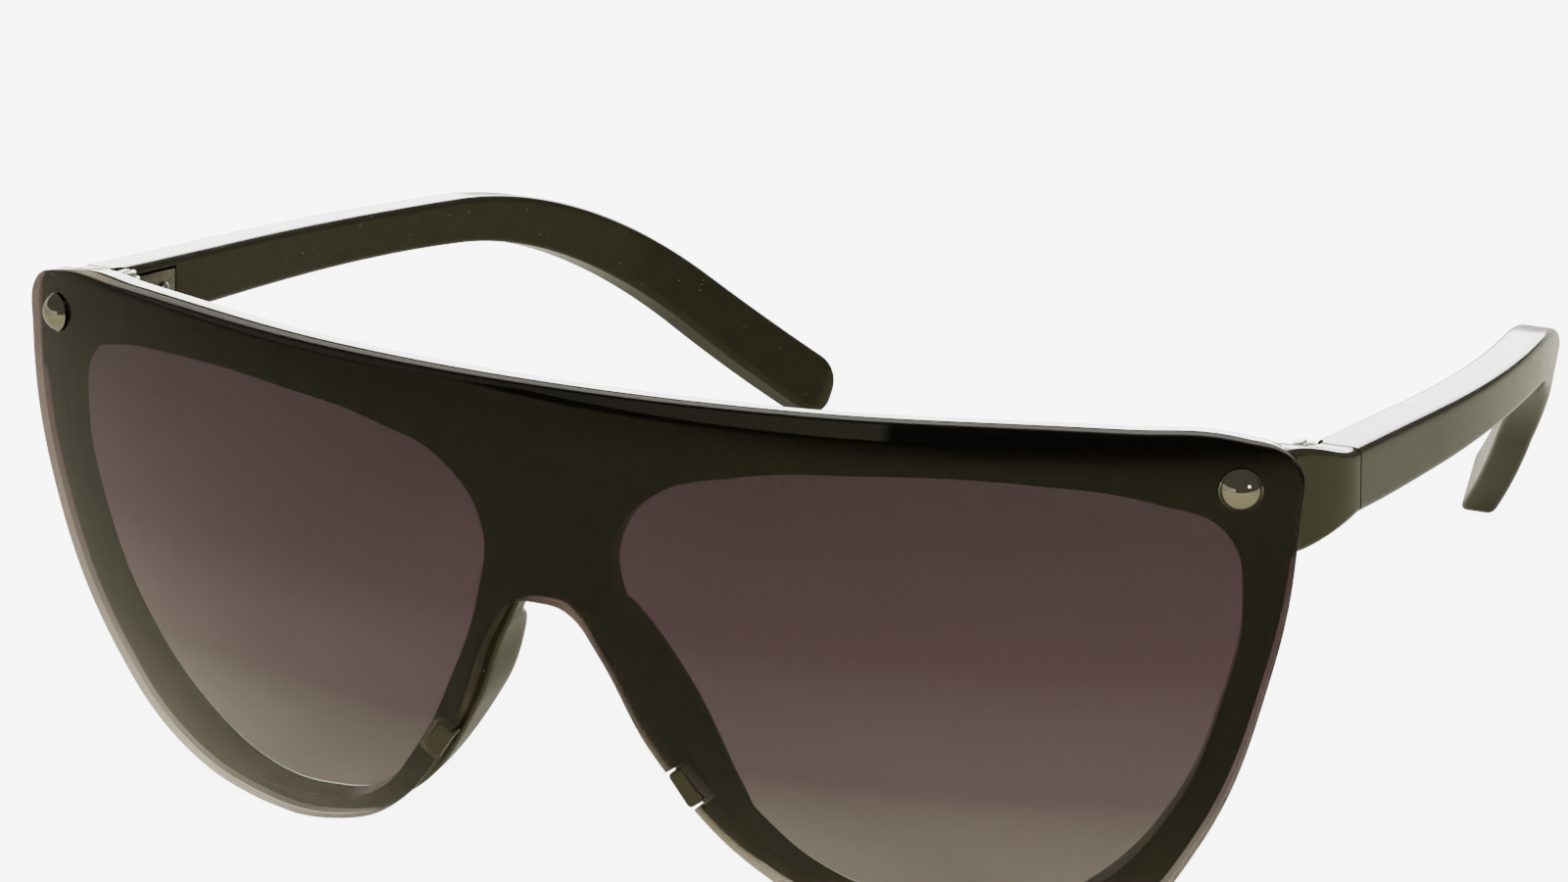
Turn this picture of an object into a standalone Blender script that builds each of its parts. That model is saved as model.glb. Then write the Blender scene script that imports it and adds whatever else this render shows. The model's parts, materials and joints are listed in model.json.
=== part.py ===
"""Flat-top shield sunglasses, built piece by piece in Blender.

Metres, +Z up. The wearer looks along -Y, and the wearer's left is +X. The glasses stand open, as on a
table, on the lower edges of the lens and on the tips of the temples. The front leans a little, so its
pieces are drawn in a frame of their own: x across, y back, z up from the middle of the brow line.
Each hinge has its own frame too: u outwards, v back, w up, from the middle of its pin.
"""

import math

import bmesh
import bpy
from mathutils import Matrix, Vector

# Front: one lens laid over the whole of a moulded frame
LENS_HALF_WIDTH = 0.0724
LENS_HEIGHT = 0.0558
LENS_THICKNESS = 0.0020
RIM_THICKNESS = 0.0026
LENS_OVERHANG = 0.0004
WRAP_RADIUS = 0.1685
DROP_RADIUS = 0.110
DROP_CENTRE_SHARE = 0.405
FRONT_LEAN = math.radians(0.8)

# Clearances
SEAT_GAP = 0.0003
FINE_GAP = 0.00015
OVERRUN = 0.004
CUT_REACH = 0.045

# Half outline of the lens, from the middle of the brow round to the top of the nose arch,
# as shares of the half width and of the height
LENS_OUTLINE_SHARES = [
    (0.39, 0.0),
    (0.788, -0.004),
    (0.928, -0.017),
    (0.994, -0.056),
    (1.0, -0.149),
    (0.968, -0.443),
    (0.87, -0.77),
    (0.761, -0.937),
    (0.605, -1.0),
    (0.434, -0.976),
    (0.287, -0.874),
    (0.155, -0.654),
    (0.086, -0.471),
    (0.044, -0.402),
]
NOSE_ARCH_SHARE = -0.391
# Where along that outline the frame is smaller than the lens: 0 on the brow and nose, 1 on the cheek
OVERHANG_SHARES = [0.0, 0.0, 0.1, 0.3, 0.6, 1.0, 1.0, 1.0, 1.0, 0.9, 0.6, 0.2, 0.1, 0.0]
# One eye opening of the frame, clockwise from its inner end, in the same shares
EYE_OPENING_SHARES = [
    (0.102, -0.279),
    (0.161, -0.179),
    (0.276, -0.131),
    (0.445, -0.109),
    (0.671, -0.109),
    (0.82, -0.136),
    (0.903, -0.184),
    (0.925, -0.301),
    (0.898, -0.496),
    (0.829, -0.708),
    (0.714, -0.875),
    (0.603, -0.95),
    (0.479, -0.947),
    (0.362, -0.896),
    (0.258, -0.762),
    (0.174, -0.591),
    (0.112, -0.401),
]
EYE_CENTRE_SHARES = (0.52, -0.45)

# Nose pad, moulded on the back of the rim beside the nose
PAD_CENTRE_SHARES = (0.178, -0.600)
PAD_LENGTH = 0.0250
PAD_WIDTH = 0.0110
PAD_DEPTH = 0.0122
PAD_SLANT = math.radians(25)
PAD_SPLAY = math.radians(18)

# Hook tab of the frame, which stands in a notch of the lens edge
TAB_CENTRE_SHARES = (0.2015, -0.7105)
TAB_LENGTH = 0.0040
TAB_WIDTH = 0.0021
TAB_SLANT = math.radians(36)

# Endpiece, which wraps back from the frame's corner to the hinge
LUG_ROOT_TOP = 0.0026
LUG_ROOT_BOTTOM = 0.0124
LUG_ROOT_INSET = 0.0012
LUG_THICKNESS = 0.0051
LUG_CORNER_RADIUS = 0.0008
LUG_ROOT_LENGTH = 0.0033
ENDPIECE_LENGTH = 0.0121
HINGE_DROP = 0.0084

# Temple
TEMPLE_STAND_OUT = 0.0015
TEMPLE_THICKNESS = 0.0051
TEMPLE_HINGE_HEIGHT = 0.0066
TEMPLE_WAIST_HEIGHT = 0.0054
TEMPLE_TIP_HEIGHT = 0.0080
TEMPLE_TIP_THICKNESS = 0.0044
TEMPLE_CORNER_RADIUS = 0.0008
TEMPLE_STRAIGHT = 0.065
TEMPLE_WAIST = 0.055
TEMPLE_BEND_RADIUS = 0.069
TEMPLE_SLOPE = math.radians(8.8)
TIP_SLOPE = math.radians(45.6)
TIP_ROUNDING = 0.0040
TIP_EDGE_SHARE = 0.3
INWARD_START = 0.023
INWARD_RADIUS = 0.243
SQUARE_END = 0.015

# Lens stud, its washer and nut
STUD_INSET = 0.0051
STUD_DROP = 0.0054
STUD_HEAD_RADIUS = 0.00205
STUD_HEAD_HEIGHT = 0.0013
STUD_SHANK_RADIUS = 0.0008
STUD_END_PROUD = 0.0004
WASHER_RADIUS = 0.0020
WASHER_THICKNESS = 0.0004
NUT_RADIUS = 0.0019
NUT_HEIGHT = 0.0011
NUT_SEAT_DEPTH = 0.0005

# Hinge: three barrels on a screw, two on the front leaf and one on the temple leaf
BARREL_RADIUS = 0.0015
BARREL_HEIGHT = 0.0014
BARREL_GAP = 0.0002
BARREL_COUNT = 3
LEAF_THICKNESS = 0.0009
LEAF_FACE = 0.0006
FRONT_LEAF_LENGTH = 0.0056
TEMPLE_LEAF_LENGTH = 0.0095
TEMPLE_LEAF_HEIGHT = 0.0040
HINGE_SCREW_RADIUS = 0.0006
HINGE_SCREW_HEAD_RADIUS = 0.00115
HINGE_SCREW_HEAD_HEIGHT = 0.0006
SLOT_WIDTH = 0.0003
SLOT_DEPTH = 0.0003
LEAF_SCREW_HEAD_RADIUS = 0.00075
LEAF_SCREW_HEAD_HEIGHT = 0.00035
LEAF_SCREW_RADIUS = 0.0004
LEAF_SCREW_LENGTH = 0.0022
LEAF_SCREW_CROWN_SHARES = (0.62, 0.78)
FRONT_LEAF_SCREW_SPREAD = 0.00125
FRONT_LEAF_SCREW_BACK_SHARE = 0.70
TEMPLE_LEAF_SCREW_SHARES = (0.44, 0.79)
FRONT_SCREW_NAMES = ("front_leaf_upper_screw_left", "front_leaf_lower_screw_left")
TEMPLE_SCREW_NAMES = ("temple_leaf_near_screw_left", "temple_leaf_far_screw_left")

# Resolution
GRID_ACROSS = 26
GRID_DOWN = 10
OUTLINE_STEPS = 5
ROUND_STEPS = 20
SCREW_STEPS = 12
DOME_STEPS = 6
CORNER_STEPS = 3
LUG_STEPS = 9
STRAIGHT_STEPS = 8
BEND_STEPS = 12
TIP_STEPS = 3
TIP_ROUND_STEPS = 5
LAST_STEP_SHARE = 0.4
LARGEST_CORNER_SHARE = 0.49
SHARP_EDGE_ANGLE = math.radians(35)

# Sizes that follow from those above
MERGE_DISTANCE = FINE_GAP / 10
DROP_CENTRE = -LENS_HEIGHT * DROP_CENTRE_SHARE
FRAME_SETBACK = LENS_THICKNESS + SEAT_GAP
STUD_X = LENS_HALF_WIDTH - STUD_INSET
LUG_ROOT_OUTER = LENS_HALF_WIDTH - LUG_ROOT_INSET
TEMPLE_OUTER = LENS_HALF_WIDTH + TEMPLE_STAND_OUT
BARREL_PITCH = BARREL_HEIGHT + BARREL_GAP
STACK_HALF = (BARREL_COUNT * BARREL_PITCH - BARREL_GAP) / 2
NOTCH_RADIUS = BARREL_RADIUS + SEAT_GAP
RECESS_FLOOR = LEAF_FACE + LEAF_THICKNESS + SEAT_GAP
HINGE_X = TEMPLE_OUTER - LEAF_FACE - TEMPLE_THICKNESS
BEND_LENGTH = TEMPLE_BEND_RADIUS * (TIP_SLOPE - TEMPLE_SLOPE)


def arc_sag(distance, radius):
    """How far a circle has fallen away from its tangent at this distance."""
    return radius - math.sqrt(radius**2 - distance**2)


def smooth(share):
    """A step from 0 to 1 that starts and ends level."""
    share = min(max(share, 0.0), 1.0)
    return share * share * (3.0 - 2.0 * share)


def mix(start, end, share):
    return start + (end - start) * share


def front_depth(x, z, setback):
    """Depth of the double-curved front at x, z: the outer face, or a concentric face behind it."""
    across = arc_sag(x, WRAP_RADIUS - setback)
    down = arc_sag(z - DROP_CENTRE, DROP_RADIUS - setback)
    return setback + across + down


def front_point(x, z, setback=0.0):
    return Vector((x, front_depth(x, z, setback), z))


def front_normal(x, z, setback=0.0):
    """Unit normal of the same face, pointing forwards."""
    across = x / math.sqrt((WRAP_RADIUS - setback) ** 2 - x**2)
    down = (z - DROP_CENTRE) / math.sqrt((DROP_RADIUS - setback) ** 2 - (z - DROP_CENTRE) ** 2)
    return Vector((across, -1.0, down)).normalized()


def lens_share_point(shares):
    return Vector((shares[0] * LENS_HALF_WIDTH, shares[1] * LENS_HEIGHT))


def temple_top(distance):
    """Back and up of the temple's top edge, and its slope, at a distance along it from the hinge."""
    straight = min(distance, TEMPLE_STRAIGHT)
    back = straight * math.cos(TEMPLE_SLOPE)
    up = TEMPLE_HINGE_HEIGHT / 2 - straight * math.sin(TEMPLE_SLOPE)
    slope = TEMPLE_SLOPE
    if distance > TEMPLE_STRAIGHT:
        turned = min(distance - TEMPLE_STRAIGHT, BEND_LENGTH)
        slope = TEMPLE_SLOPE + turned / TEMPLE_BEND_RADIUS
        back += TEMPLE_BEND_RADIUS * (math.sin(slope) - math.sin(TEMPLE_SLOPE))
        up -= TEMPLE_BEND_RADIUS * (math.cos(TEMPLE_SLOPE) - math.cos(slope))
    beyond = max(distance - TEMPLE_STRAIGHT - BEND_LENGTH, 0.0)
    back += beyond * math.cos(TIP_SLOPE)
    up -= beyond * math.sin(TIP_SLOPE)
    return back, up, slope


def in_front_frame(point):
    """Turns a point of the front's own frame by its lean, before the front is set in its place."""
    return Matrix.Rotation(FRONT_LEAN, 3, "X") @ Vector(point)


# The endpiece starts behind the lens corner and carries the hinge at its other end
CORNER_DEPTH = front_depth(LUG_ROOT_OUTER, -HINGE_DROP, 0.0)
LUG_BLEND_START = CORNER_DEPTH + LUG_ROOT_LENGTH
HINGE_SETBACK = CORNER_DEPTH + ENDPIECE_LENGTH

# Where the front, the hinges and the ends of the tips lie, with the lens and the tips on the ground
LOWEST = min(LENS_OUTLINE_SHARES, key=lambda shares: shares[1])
LENS_FOOT = lens_share_point(LOWEST)
BROW_HEIGHT = -in_front_frame(front_point(LENS_FOOT.x, LENS_FOOT.y, LENS_THICKNESS)).z
HINGE_TURNED = in_front_frame((HINGE_X, HINGE_SETBACK, -HINGE_DROP))
HINGE_HEIGHT = BROW_HEIGHT + HINGE_TURNED.z
TIP_HALF = TEMPLE_TIP_HEIGHT / 2
TIP_REACH_DOWN = math.hypot(TIP_HALF * math.cos(TIP_SLOPE), TIP_ROUNDING * math.sin(TIP_SLOPE))
TIP_REACH_BACK = math.hypot(TIP_HALF * math.sin(TIP_SLOPE), TIP_ROUNDING * math.cos(TIP_SLOPE))
BEND_END_BACK, BEND_END_UP, BEND_END_SLOPE = temple_top(TEMPLE_STRAIGHT + BEND_LENGTH)
TIP_FALL = HINGE_HEIGHT + BEND_END_UP - TIP_HALF * math.cos(TIP_SLOPE) - TIP_REACH_DOWN
TIP_RUN = TIP_FALL / math.sin(TIP_SLOPE)
TEMPLE_BODY_LENGTH = TEMPLE_STRAIGHT + BEND_LENGTH + TIP_RUN
TIP_CENTRE_BACK = BEND_END_BACK + TIP_RUN * math.cos(TIP_SLOPE) - TIP_HALF * math.sin(TIP_SLOPE)
FRONTMOST = in_front_frame(front_point(0.0, NOSE_ARCH_SHARE * LENS_HEIGHT)).y
REARMOST = HINGE_TURNED.y + TIP_CENTRE_BACK + TIP_REACH_BACK
FRONT_Y = -(FRONTMOST + REARMOST) / 2
FRONT_PLACE = Matrix.Translation((0.0, FRONT_Y, BROW_HEIGHT)) @ Matrix.Rotation(FRONT_LEAN, 4, "X")
HINGE_PLACE = Matrix.Translation((HINGE_X, FRONT_Y + HINGE_TURNED.y, HINGE_HEIGHT))


def clear_scene():
    for item in list(bpy.data.objects):
        bpy.data.objects.remove(item, do_unlink=True)
    for collection in list(bpy.data.collections):
        bpy.data.collections.remove(collection)


def make_collection(name):
    collection = bpy.data.collections.new(name)
    bpy.context.scene.collection.children.link(collection)
    return collection


def make_material(name, colour, roughness, metallic=0.0, transmission=0.0):
    material = bpy.data.materials.new(name)
    material.use_nodes = True
    shader = material.node_tree.nodes["Principled BSDF"]
    shader.inputs["Base Color"].default_value = (*colour, 1.0)
    shader.inputs["Roughness"].default_value = roughness
    shader.inputs["Metallic"].default_value = metallic
    shader.inputs["Transmission Weight"].default_value = transmission
    return material


clear_scene()
PARTS = make_collection("sunglasses")
CUTTERS = make_collection("sunglasses_cutters")
FRAME_PLASTIC = make_material("frame_plastic", (0.017, 0.016, 0.009), 0.18)
LENS_TINT = make_material("lens_tint", (0.10, 0.065, 0.055), 0.05, transmission=0.8)
STUD_CHROME = make_material("stud_chrome", (0.80, 0.79, 0.74), 0.08, metallic=1.0)
HINGE_STEEL = make_material("hinge_steel", (0.62, 0.61, 0.58), 0.28, metallic=1.0)
WASHER_NYLON = make_material("washer_nylon", (0.70, 0.69, 0.64), 0.45)


def add_object(name, mesh, material=None, place=None):
    """A part with its own material, or a cutter if it has none."""
    item = bpy.data.objects.new(name, mesh)
    if material is None:
        CUTTERS.objects.link(item)
        item.hide_render = True
        item.display_type = "WIRE"
    else:
        PARTS.objects.link(item)
        own = material.copy()
        own.name = name + "_material"
        mesh.materials.append(own)
    if place is not None:
        item.matrix_world = place
    return item


def add_modifier(item, kind, **settings):
    modifier = item.modifiers.new(kind.lower(), kind)
    for key, value in settings.items():
        setattr(modifier, key, value)
    return modifier


def combine(item, tool, operation):
    add_modifier(item, "BOOLEAN", object=tool, operation=operation, solver="EXACT")


def shade(mesh):
    mesh.shade_smooth()
    mesh.set_sharp_from_angle(angle=SHARP_EDGE_ANGLE)


def mesh_from(name, edit):
    mesh = bpy.data.meshes.new(name)
    edit.to_mesh(mesh)
    edit.free()
    return mesh


def bent_sheet(name, setback, thickness, material=None):
    """The front's curved sheet, wider than the glasses, with a wall behind it or before it."""
    edit = bmesh.new()
    bmesh.ops.create_grid(edit, x_segments=GRID_ACROSS, y_segments=GRID_DOWN, size=1.0)
    half_width = LENS_HALF_WIDTH + OVERRUN
    half_height = LENS_HEIGHT / 2 + OVERRUN
    for vert in edit.verts:
        x = vert.co.x * half_width
        z = vert.co.y * half_height - LENS_HEIGHT / 2
        vert.co = front_point(x, z, setback)
    sheet = add_object(name, mesh_from(name, edit), material, FRONT_PLACE)
    add_modifier(sheet, "SOLIDIFY", thickness=abs(thickness), offset=math.copysign(1.0, -thickness))
    return sheet


def prism(name, outlines, setback=0.0):
    """Smooth closed outlines on the front's face at a setback, with walls square to that face."""
    curve = bpy.data.curves.new(name, "CURVE")
    curve.dimensions = "2D"
    curve.fill_mode = "BOTH"
    curve.extrude = OVERRUN
    curve.resolution_u = OUTLINE_STEPS
    for outline in outlines:
        spline = curve.splines.new("BEZIER")
        spline.bezier_points.add(len(outline) - 1)
        spline.use_cyclic_u = True
        for knot, point in zip(spline.bezier_points, outline):
            knot.co = (point[0], point[1], 0.0)
            knot.handle_left_type = "AUTO"
            knot.handle_right_type = "AUTO"
    drawn = bpy.data.objects.new(name, curve)
    CUTTERS.objects.link(drawn)
    bpy.context.view_layer.update()
    mesh = bpy.data.meshes.new_from_object(
        drawn.evaluated_get(bpy.context.evaluated_depsgraph_get())
    )
    bpy.data.objects.remove(drawn, do_unlink=True)
    edit = bmesh.new()
    edit.from_mesh(mesh)
    bmesh.ops.remove_doubles(edit, verts=edit.verts, dist=MERGE_DISTANCE)
    for vert in edit.verts:
        end = -OVERRUN if vert.co.z > 0 else CUT_REACH
        face_point = front_point(vert.co.x, vert.co.y, setback)
        normal = front_normal(vert.co.x, vert.co.y, setback)
        vert.co = face_point + normal * (end - face_point.y) / normal.y
    bmesh.ops.recalc_face_normals(edit, faces=edit.faces)
    edit.to_mesh(mesh)
    edit.free()
    return add_object(name + "_solid", mesh, None, FRONT_PLACE)


def block(name, low, high, place, material=None):
    """A box between two corners of its own frame."""
    edit = bmesh.new()
    bmesh.ops.create_cube(edit, size=1.0)
    low, high = Vector(low), Vector(high)
    for vert in edit.verts:
        vert.co = Vector([mix(low[i], high[i], vert.co[i] + 0.5) for i in range(3)])
    return add_object(name, mesh_from(name, edit), material, place)


def rod(name, radius, low, high, place, sides=ROUND_STEPS, material=None):
    """A round or sided bar along its own z, from low to high."""
    edit = bmesh.new()
    bmesh.ops.create_cone(
        edit, cap_ends=True, segments=sides, radius1=radius, radius2=radius, depth=high - low
    )
    bmesh.ops.translate(edit, verts=edit.verts, vec=(0.0, 0.0, (low + high) / 2))
    mesh = mesh_from(name, edit)
    shade(mesh)
    return add_object(name, mesh, material, place)


def turned(name, profile, place, material, sides=ROUND_STEPS):
    """A profile of radius and height, top to bottom, spun about its own z."""
    mesh = bpy.data.meshes.new(name)
    points = [(radius, 0.0, height) for radius, height in profile]
    mesh.from_pydata(points, [(i, i + 1) for i in range(len(points) - 1)], [])
    item = add_object(name, mesh, material, place)
    add_modifier(
        item,
        "SCREW",
        angle=math.tau,
        steps=sides,
        render_steps=sides,
        axis="Z",
        use_merge_vertices=True,
        merge_threshold=MERGE_DISTANCE,
        use_smooth_shade=True,
    )
    return item


def loft(name, rings, place, material=None):
    """A closed body through rings of equal count, each an ordered loop of points."""
    edit = bmesh.new()
    loops = [[edit.verts.new(point) for point in ring] for ring in rings]
    count = len(loops[0])
    for before, after in zip(loops, loops[1:]):
        for i in range(count):
            j = (i + 1) % count
            edit.faces.new((before[i], before[j], after[j], after[i]))
    edit.faces.new(loops[0])
    edit.faces.new(list(reversed(loops[-1])))
    bmesh.ops.recalc_face_normals(edit, faces=edit.faces)
    mesh = mesh_from(name, edit)
    shade(mesh)
    return add_object(name, mesh, material, place)


def rounded_rectangle(width, height, radius):
    """Points of a rounded rectangle about its middle, anticlockwise."""
    radius = min(radius, width * LARGEST_CORNER_SHARE, height * LARGEST_CORNER_SHARE)
    points = []
    for corner, (right, top) in enumerate(((1, 1), (-1, 1), (-1, -1), (1, -1))):
        middle = Vector((right * (width / 2 - radius), top * (height / 2 - radius)))
        for step in range(CORNER_STEPS + 1):
            angle = math.radians(90) * (corner + step / CORNER_STEPS)
            points.append(middle + radius * Vector((math.cos(angle), math.sin(angle))))
    return points


def facing(point, direction):
    """A place whose own z looks along a direction."""
    turn = Vector(direction).to_track_quat("Z", "Y").to_matrix().to_4x4()
    return Matrix.Translation(point) @ turn


def mirrored_copy(source, name, parent=None):
    """The same piece for the wearer's right, from the finished piece on the left."""
    bpy.context.view_layer.update()
    mesh = bpy.data.meshes.new_from_object(
        source.evaluated_get(bpy.context.evaluated_depsgraph_get())
    )
    origin = source.matrix_world.translation.copy()
    mesh.transform(Matrix.Translation(-origin) @ source.matrix_world)
    mesh.transform(Matrix.Scale(-1.0, 4, (1.0, 0.0, 0.0)))
    mesh.flip_normals()
    mesh.materials.clear()
    copy = add_object(name, mesh, source.active_material)
    copy.location = (-origin.x, origin.y, origin.z)
    if parent is not None:
        attach(copy, parent)
    return copy


def attach(item, parent):
    """Parents a piece and leaves it where it is."""
    bpy.context.view_layer.update()
    place = item.matrix_world.copy()
    item.parent = parent
    item.matrix_parent_inverse = parent.matrix_world.inverted()
    item.matrix_world = place


def datum(name, place):
    empty = bpy.data.objects.new(name, None)
    PARTS.objects.link(empty)
    empty.empty_display_size = BARREL_RADIUS
    empty.matrix_world = place
    bpy.context.view_layer.update()
    return empty


def whole_outline(half):
    """A half outline from brow to nose, with its mirror image and the top of the nose arch."""
    right = [Vector((-point.x, point.y)) for point in reversed(half)]
    return half + [Vector((0.0, NOSE_ARCH_SHARE * LENS_HEIGHT))] + right


def lens_half_outline():
    return [lens_share_point(shares) for shares in LENS_OUTLINE_SHARES]


def frame_half_outline():
    """The lens outline, drawn in towards the eye where the lens overhangs the frame."""
    centre = lens_share_point(EYE_CENTRE_SHARES)
    half = []
    for point, share in zip(lens_half_outline(), OVERHANG_SHARES):
        inwards = (centre - point).normalized()
        half.append(point + inwards * LENS_OVERHANG * share)
    return half


def tab_block(name, grow, low_setback, high_setback):
    """The hook tab, or the notch round it when it is grown by a gap."""
    centre = lens_share_point(TAB_CENTRE_SHARES)
    middle = front_point(centre.x, centre.y)
    turn = Matrix.Rotation(-TAB_SLANT, 4, "Y")
    place = FRONT_PLACE @ Matrix.Translation(middle) @ turn
    half_width = TAB_WIDTH / 2 + grow
    half_length = TAB_LENGTH / 2 + grow
    return block(
        name,
        (-half_width, low_setback, -half_length),
        (half_width, high_setback, half_length),
        place,
    )


def stud_place():
    """Frame on the lens at the stud: its z looks forwards, square to the lens."""
    point = front_point(STUD_X, -STUD_DROP)
    return FRONT_PLACE @ facing(point, front_normal(STUD_X, -STUD_DROP))


def nut_seat():
    """Height of the nut's seat along the stud, behind the lens."""
    return -(FRAME_SETBACK + RIM_THICKNESS - NUT_SEAT_DEPTH)


def make_lens():
    lens = bent_sheet("shield_lens", 0.0, LENS_THICKNESS, LENS_TINT)
    combine(lens, prism("lens_outline", [whole_outline(lens_half_outline())]), "INTERSECT")
    notch = tab_block("lens_notch", SEAT_GAP, -OVERRUN, OVERRUN)
    combine(lens, notch, "DIFFERENCE")
    hole = rod("lens_stud_hole", STUD_SHANK_RADIUS + SEAT_GAP, -OVERRUN, OVERRUN, stud_place())
    combine(lens, hole, "DIFFERENCE")
    mirror_half(lens)
    return lens


def mirror_half(item):
    """Keeps the wearer's left half and mirrors it across the middle."""
    mirror = add_modifier(item, "MIRROR", merge_threshold=MERGE_DISTANCE)
    mirror.use_axis = (True, False, False)
    mirror.use_bisect_axis = (True, False, False)
    mirror.bisect_threshold = MERGE_DISTANCE / 10


def lug_rings():
    """Sections of the endpiece, from inside the frame's corner back past the hinge."""
    section_start = LUG_BLEND_START - OVERRUN
    section_end = HINGE_SETBACK + OVERRUN
    hinge_top = HINGE_DROP - TEMPLE_HINGE_HEIGHT / 2
    hinge_bottom = HINGE_DROP + TEMPLE_HINGE_HEIGHT / 2
    rings = []
    for step in range(LUG_STEPS + 1):
        y = mix(section_start, section_end, step / LUG_STEPS)
        share = smooth((y - LUG_BLEND_START) / (HINGE_SETBACK - LUG_BLEND_START))
        top = mix(LUG_ROOT_TOP, hinge_top, share)
        bottom = mix(LUG_ROOT_BOTTOM, hinge_bottom, share)
        outer = mix(LUG_ROOT_OUTER, TEMPLE_OUTER, share)
        centre = Vector((outer - LUG_THICKNESS / 2, y, -(top + bottom) / 2))
        ring = rounded_rectangle(LUG_THICKNESS, bottom - top, LUG_CORNER_RADIUS)
        rings.append([centre + Vector((point.x, 0.0, point.y)) for point in ring])
    return rings


def make_nose_pad():
    """An egg-shaped swelling along the nose side of the rim, splayed to lie on the nose."""
    centre = lens_share_point(PAD_CENTRE_SHARES)
    middle = front_point(centre.x, centre.y, FRAME_SETBACK + RIM_THICKNESS / 2)
    turn = Matrix.Rotation(-PAD_SLANT, 4, "Y") @ Matrix.Rotation(-PAD_SPLAY, 4, "Z")
    edit = bmesh.new()
    bmesh.ops.create_uvsphere(edit, u_segments=20, v_segments=12, radius=0.5)
    bmesh.ops.scale(edit, verts=edit.verts, vec=(PAD_WIDTH, PAD_DEPTH, PAD_LENGTH))
    mesh = mesh_from("nose_pad_swelling", edit)
    return add_object(mesh.name, mesh, None, FRONT_PLACE @ Matrix.Translation(middle) @ turn)


def leaf_screw_spots_front():
    """Back and up of the two screws of the front leaf."""
    back = -FRONT_LEAF_LENGTH * FRONT_LEAF_SCREW_BACK_SHARE
    return [(back, FRONT_LEAF_SCREW_SPREAD), (back, -FRONT_LEAF_SCREW_SPREAD)]


def leaf_screw_spots_temple():
    """The same for the temple leaf, on the line of the temple."""
    spots = []
    for share in TEMPLE_LEAF_SCREW_SHARES:
        along = TEMPLE_LEAF_LENGTH * share
        spots.append((along * math.cos(TEMPLE_SLOPE), -along * math.sin(TEMPLE_SLOPE)))
    return spots


def cut_leaf_screw_holes(item, name, spots, deepest):
    for number, (back, up) in enumerate(spots, start=1):
        place = HINGE_PLACE @ facing((0.0, back, up), (1.0, 0.0, 0.0))
        hole = rod(f"{name}_{number}", LEAF_SCREW_RADIUS + FINE_GAP, 0.0, deepest, place, sides=SCREW_STEPS)
        combine(item, hole, "DIFFERENCE")


def make_frame():
    frame = bent_sheet("frame_front", FRAME_SETBACK, RIM_THICKNESS, FRAME_PLASTIC)
    pad = make_nose_pad()
    endpiece = loft("endpiece", lug_rings(), FRONT_PLACE)
    lens_seat = bent_sheet("lens_seat", FRAME_SETBACK + FINE_GAP, -LENS_HEIGHT / 2)
    combine(pad, lens_seat, "DIFFERENCE")
    combine(endpiece, lens_seat, "DIFFERENCE")
    combine(frame, pad, "UNION")
    tab = tab_block("hook_tab", 0.0, FINE_GAP, FRAME_SETBACK + RIM_THICKNESS / 2)
    combine(frame, tab, "UNION")
    combine(frame, prism("frame_outline", [whole_outline(frame_half_outline())]), "INTERSECT")
    openings = []
    for side in (1, -1):
        opening = map(lens_share_point, EYE_OPENING_SHARES)
        openings.append([Vector((side * point.x, point.y)) for point in opening])
    combine(frame, prism("eye_openings", openings, FRAME_SETBACK), "DIFFERENCE")
    combine(frame, endpiece, "UNION")

    past = LENS_HALF_WIDTH
    split = block("endpiece_end", (-past, -SEAT_GAP / 2, -past), (past, past, past), HINGE_PLACE)
    combine(frame, split, "DIFFERENCE")
    recess_half = STACK_HALF + SEAT_GAP
    recess = block(
        "front_leaf_recess",
        (-OVERRUN, -FRONT_LEAF_LENGTH - SEAT_GAP, -recess_half),
        (RECESS_FLOOR, OVERRUN, recess_half),
        HINGE_PLACE,
    )
    combine(frame, recess, "DIFFERENCE")
    notch = rod("front_barrel_notch", NOTCH_RADIUS, -past, past, HINGE_PLACE, sides=ROUND_STEPS)
    combine(frame, notch, "DIFFERENCE")
    screw_end = LEAF_FACE + LEAF_SCREW_LENGTH + FINE_GAP
    cut_leaf_screw_holes(frame, "front_leaf_screw_hole", leaf_screw_spots_front(), screw_end)

    deep = nut_seat() - OVERRUN
    hole = rod("frame_stud_hole", STUD_SHANK_RADIUS + SEAT_GAP, deep, OVERRUN, stud_place())
    combine(frame, hole, "DIFFERENCE")
    seat = rod("nut_seat", WASHER_RADIUS + SEAT_GAP, deep, nut_seat(), stud_place())
    combine(frame, seat, "DIFFERENCE")
    mirror_half(frame)
    return frame


def make_stud():
    """Domed head on the lens and a plain shank through lens, frame, washer and nut."""
    dome_radius = (STUD_HEAD_RADIUS**2 + STUD_HEAD_HEIGHT**2) / (2 * STUD_HEAD_HEIGHT)
    half_angle = math.asin(STUD_HEAD_RADIUS / dome_radius)
    profile = []
    for step in range(DOME_STEPS + 1):
        angle = half_angle * step / DOME_STEPS
        height = FINE_GAP + STUD_HEAD_HEIGHT - dome_radius * (1 - math.cos(angle))
        profile.append((dome_radius * math.sin(angle), height))
    end = nut_seat() - FINE_GAP * 2 - WASHER_THICKNESS - NUT_HEIGHT - STUD_END_PROUD
    profile += [(STUD_SHANK_RADIUS, FINE_GAP), (STUD_SHANK_RADIUS, end), (0.0, end)]
    return turned("lens_stud_left", profile, stud_place(), STUD_CHROME)


def make_washer():
    high = nut_seat() - FINE_GAP
    low = high - WASHER_THICKNESS
    inner = STUD_SHANK_RADIUS + FINE_GAP
    ring = [(inner, high), (WASHER_RADIUS, high), (WASHER_RADIUS, low), (inner, low), (inner, high)]
    return turned("stud_washer_left", ring, stud_place(), WASHER_NYLON)


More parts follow.
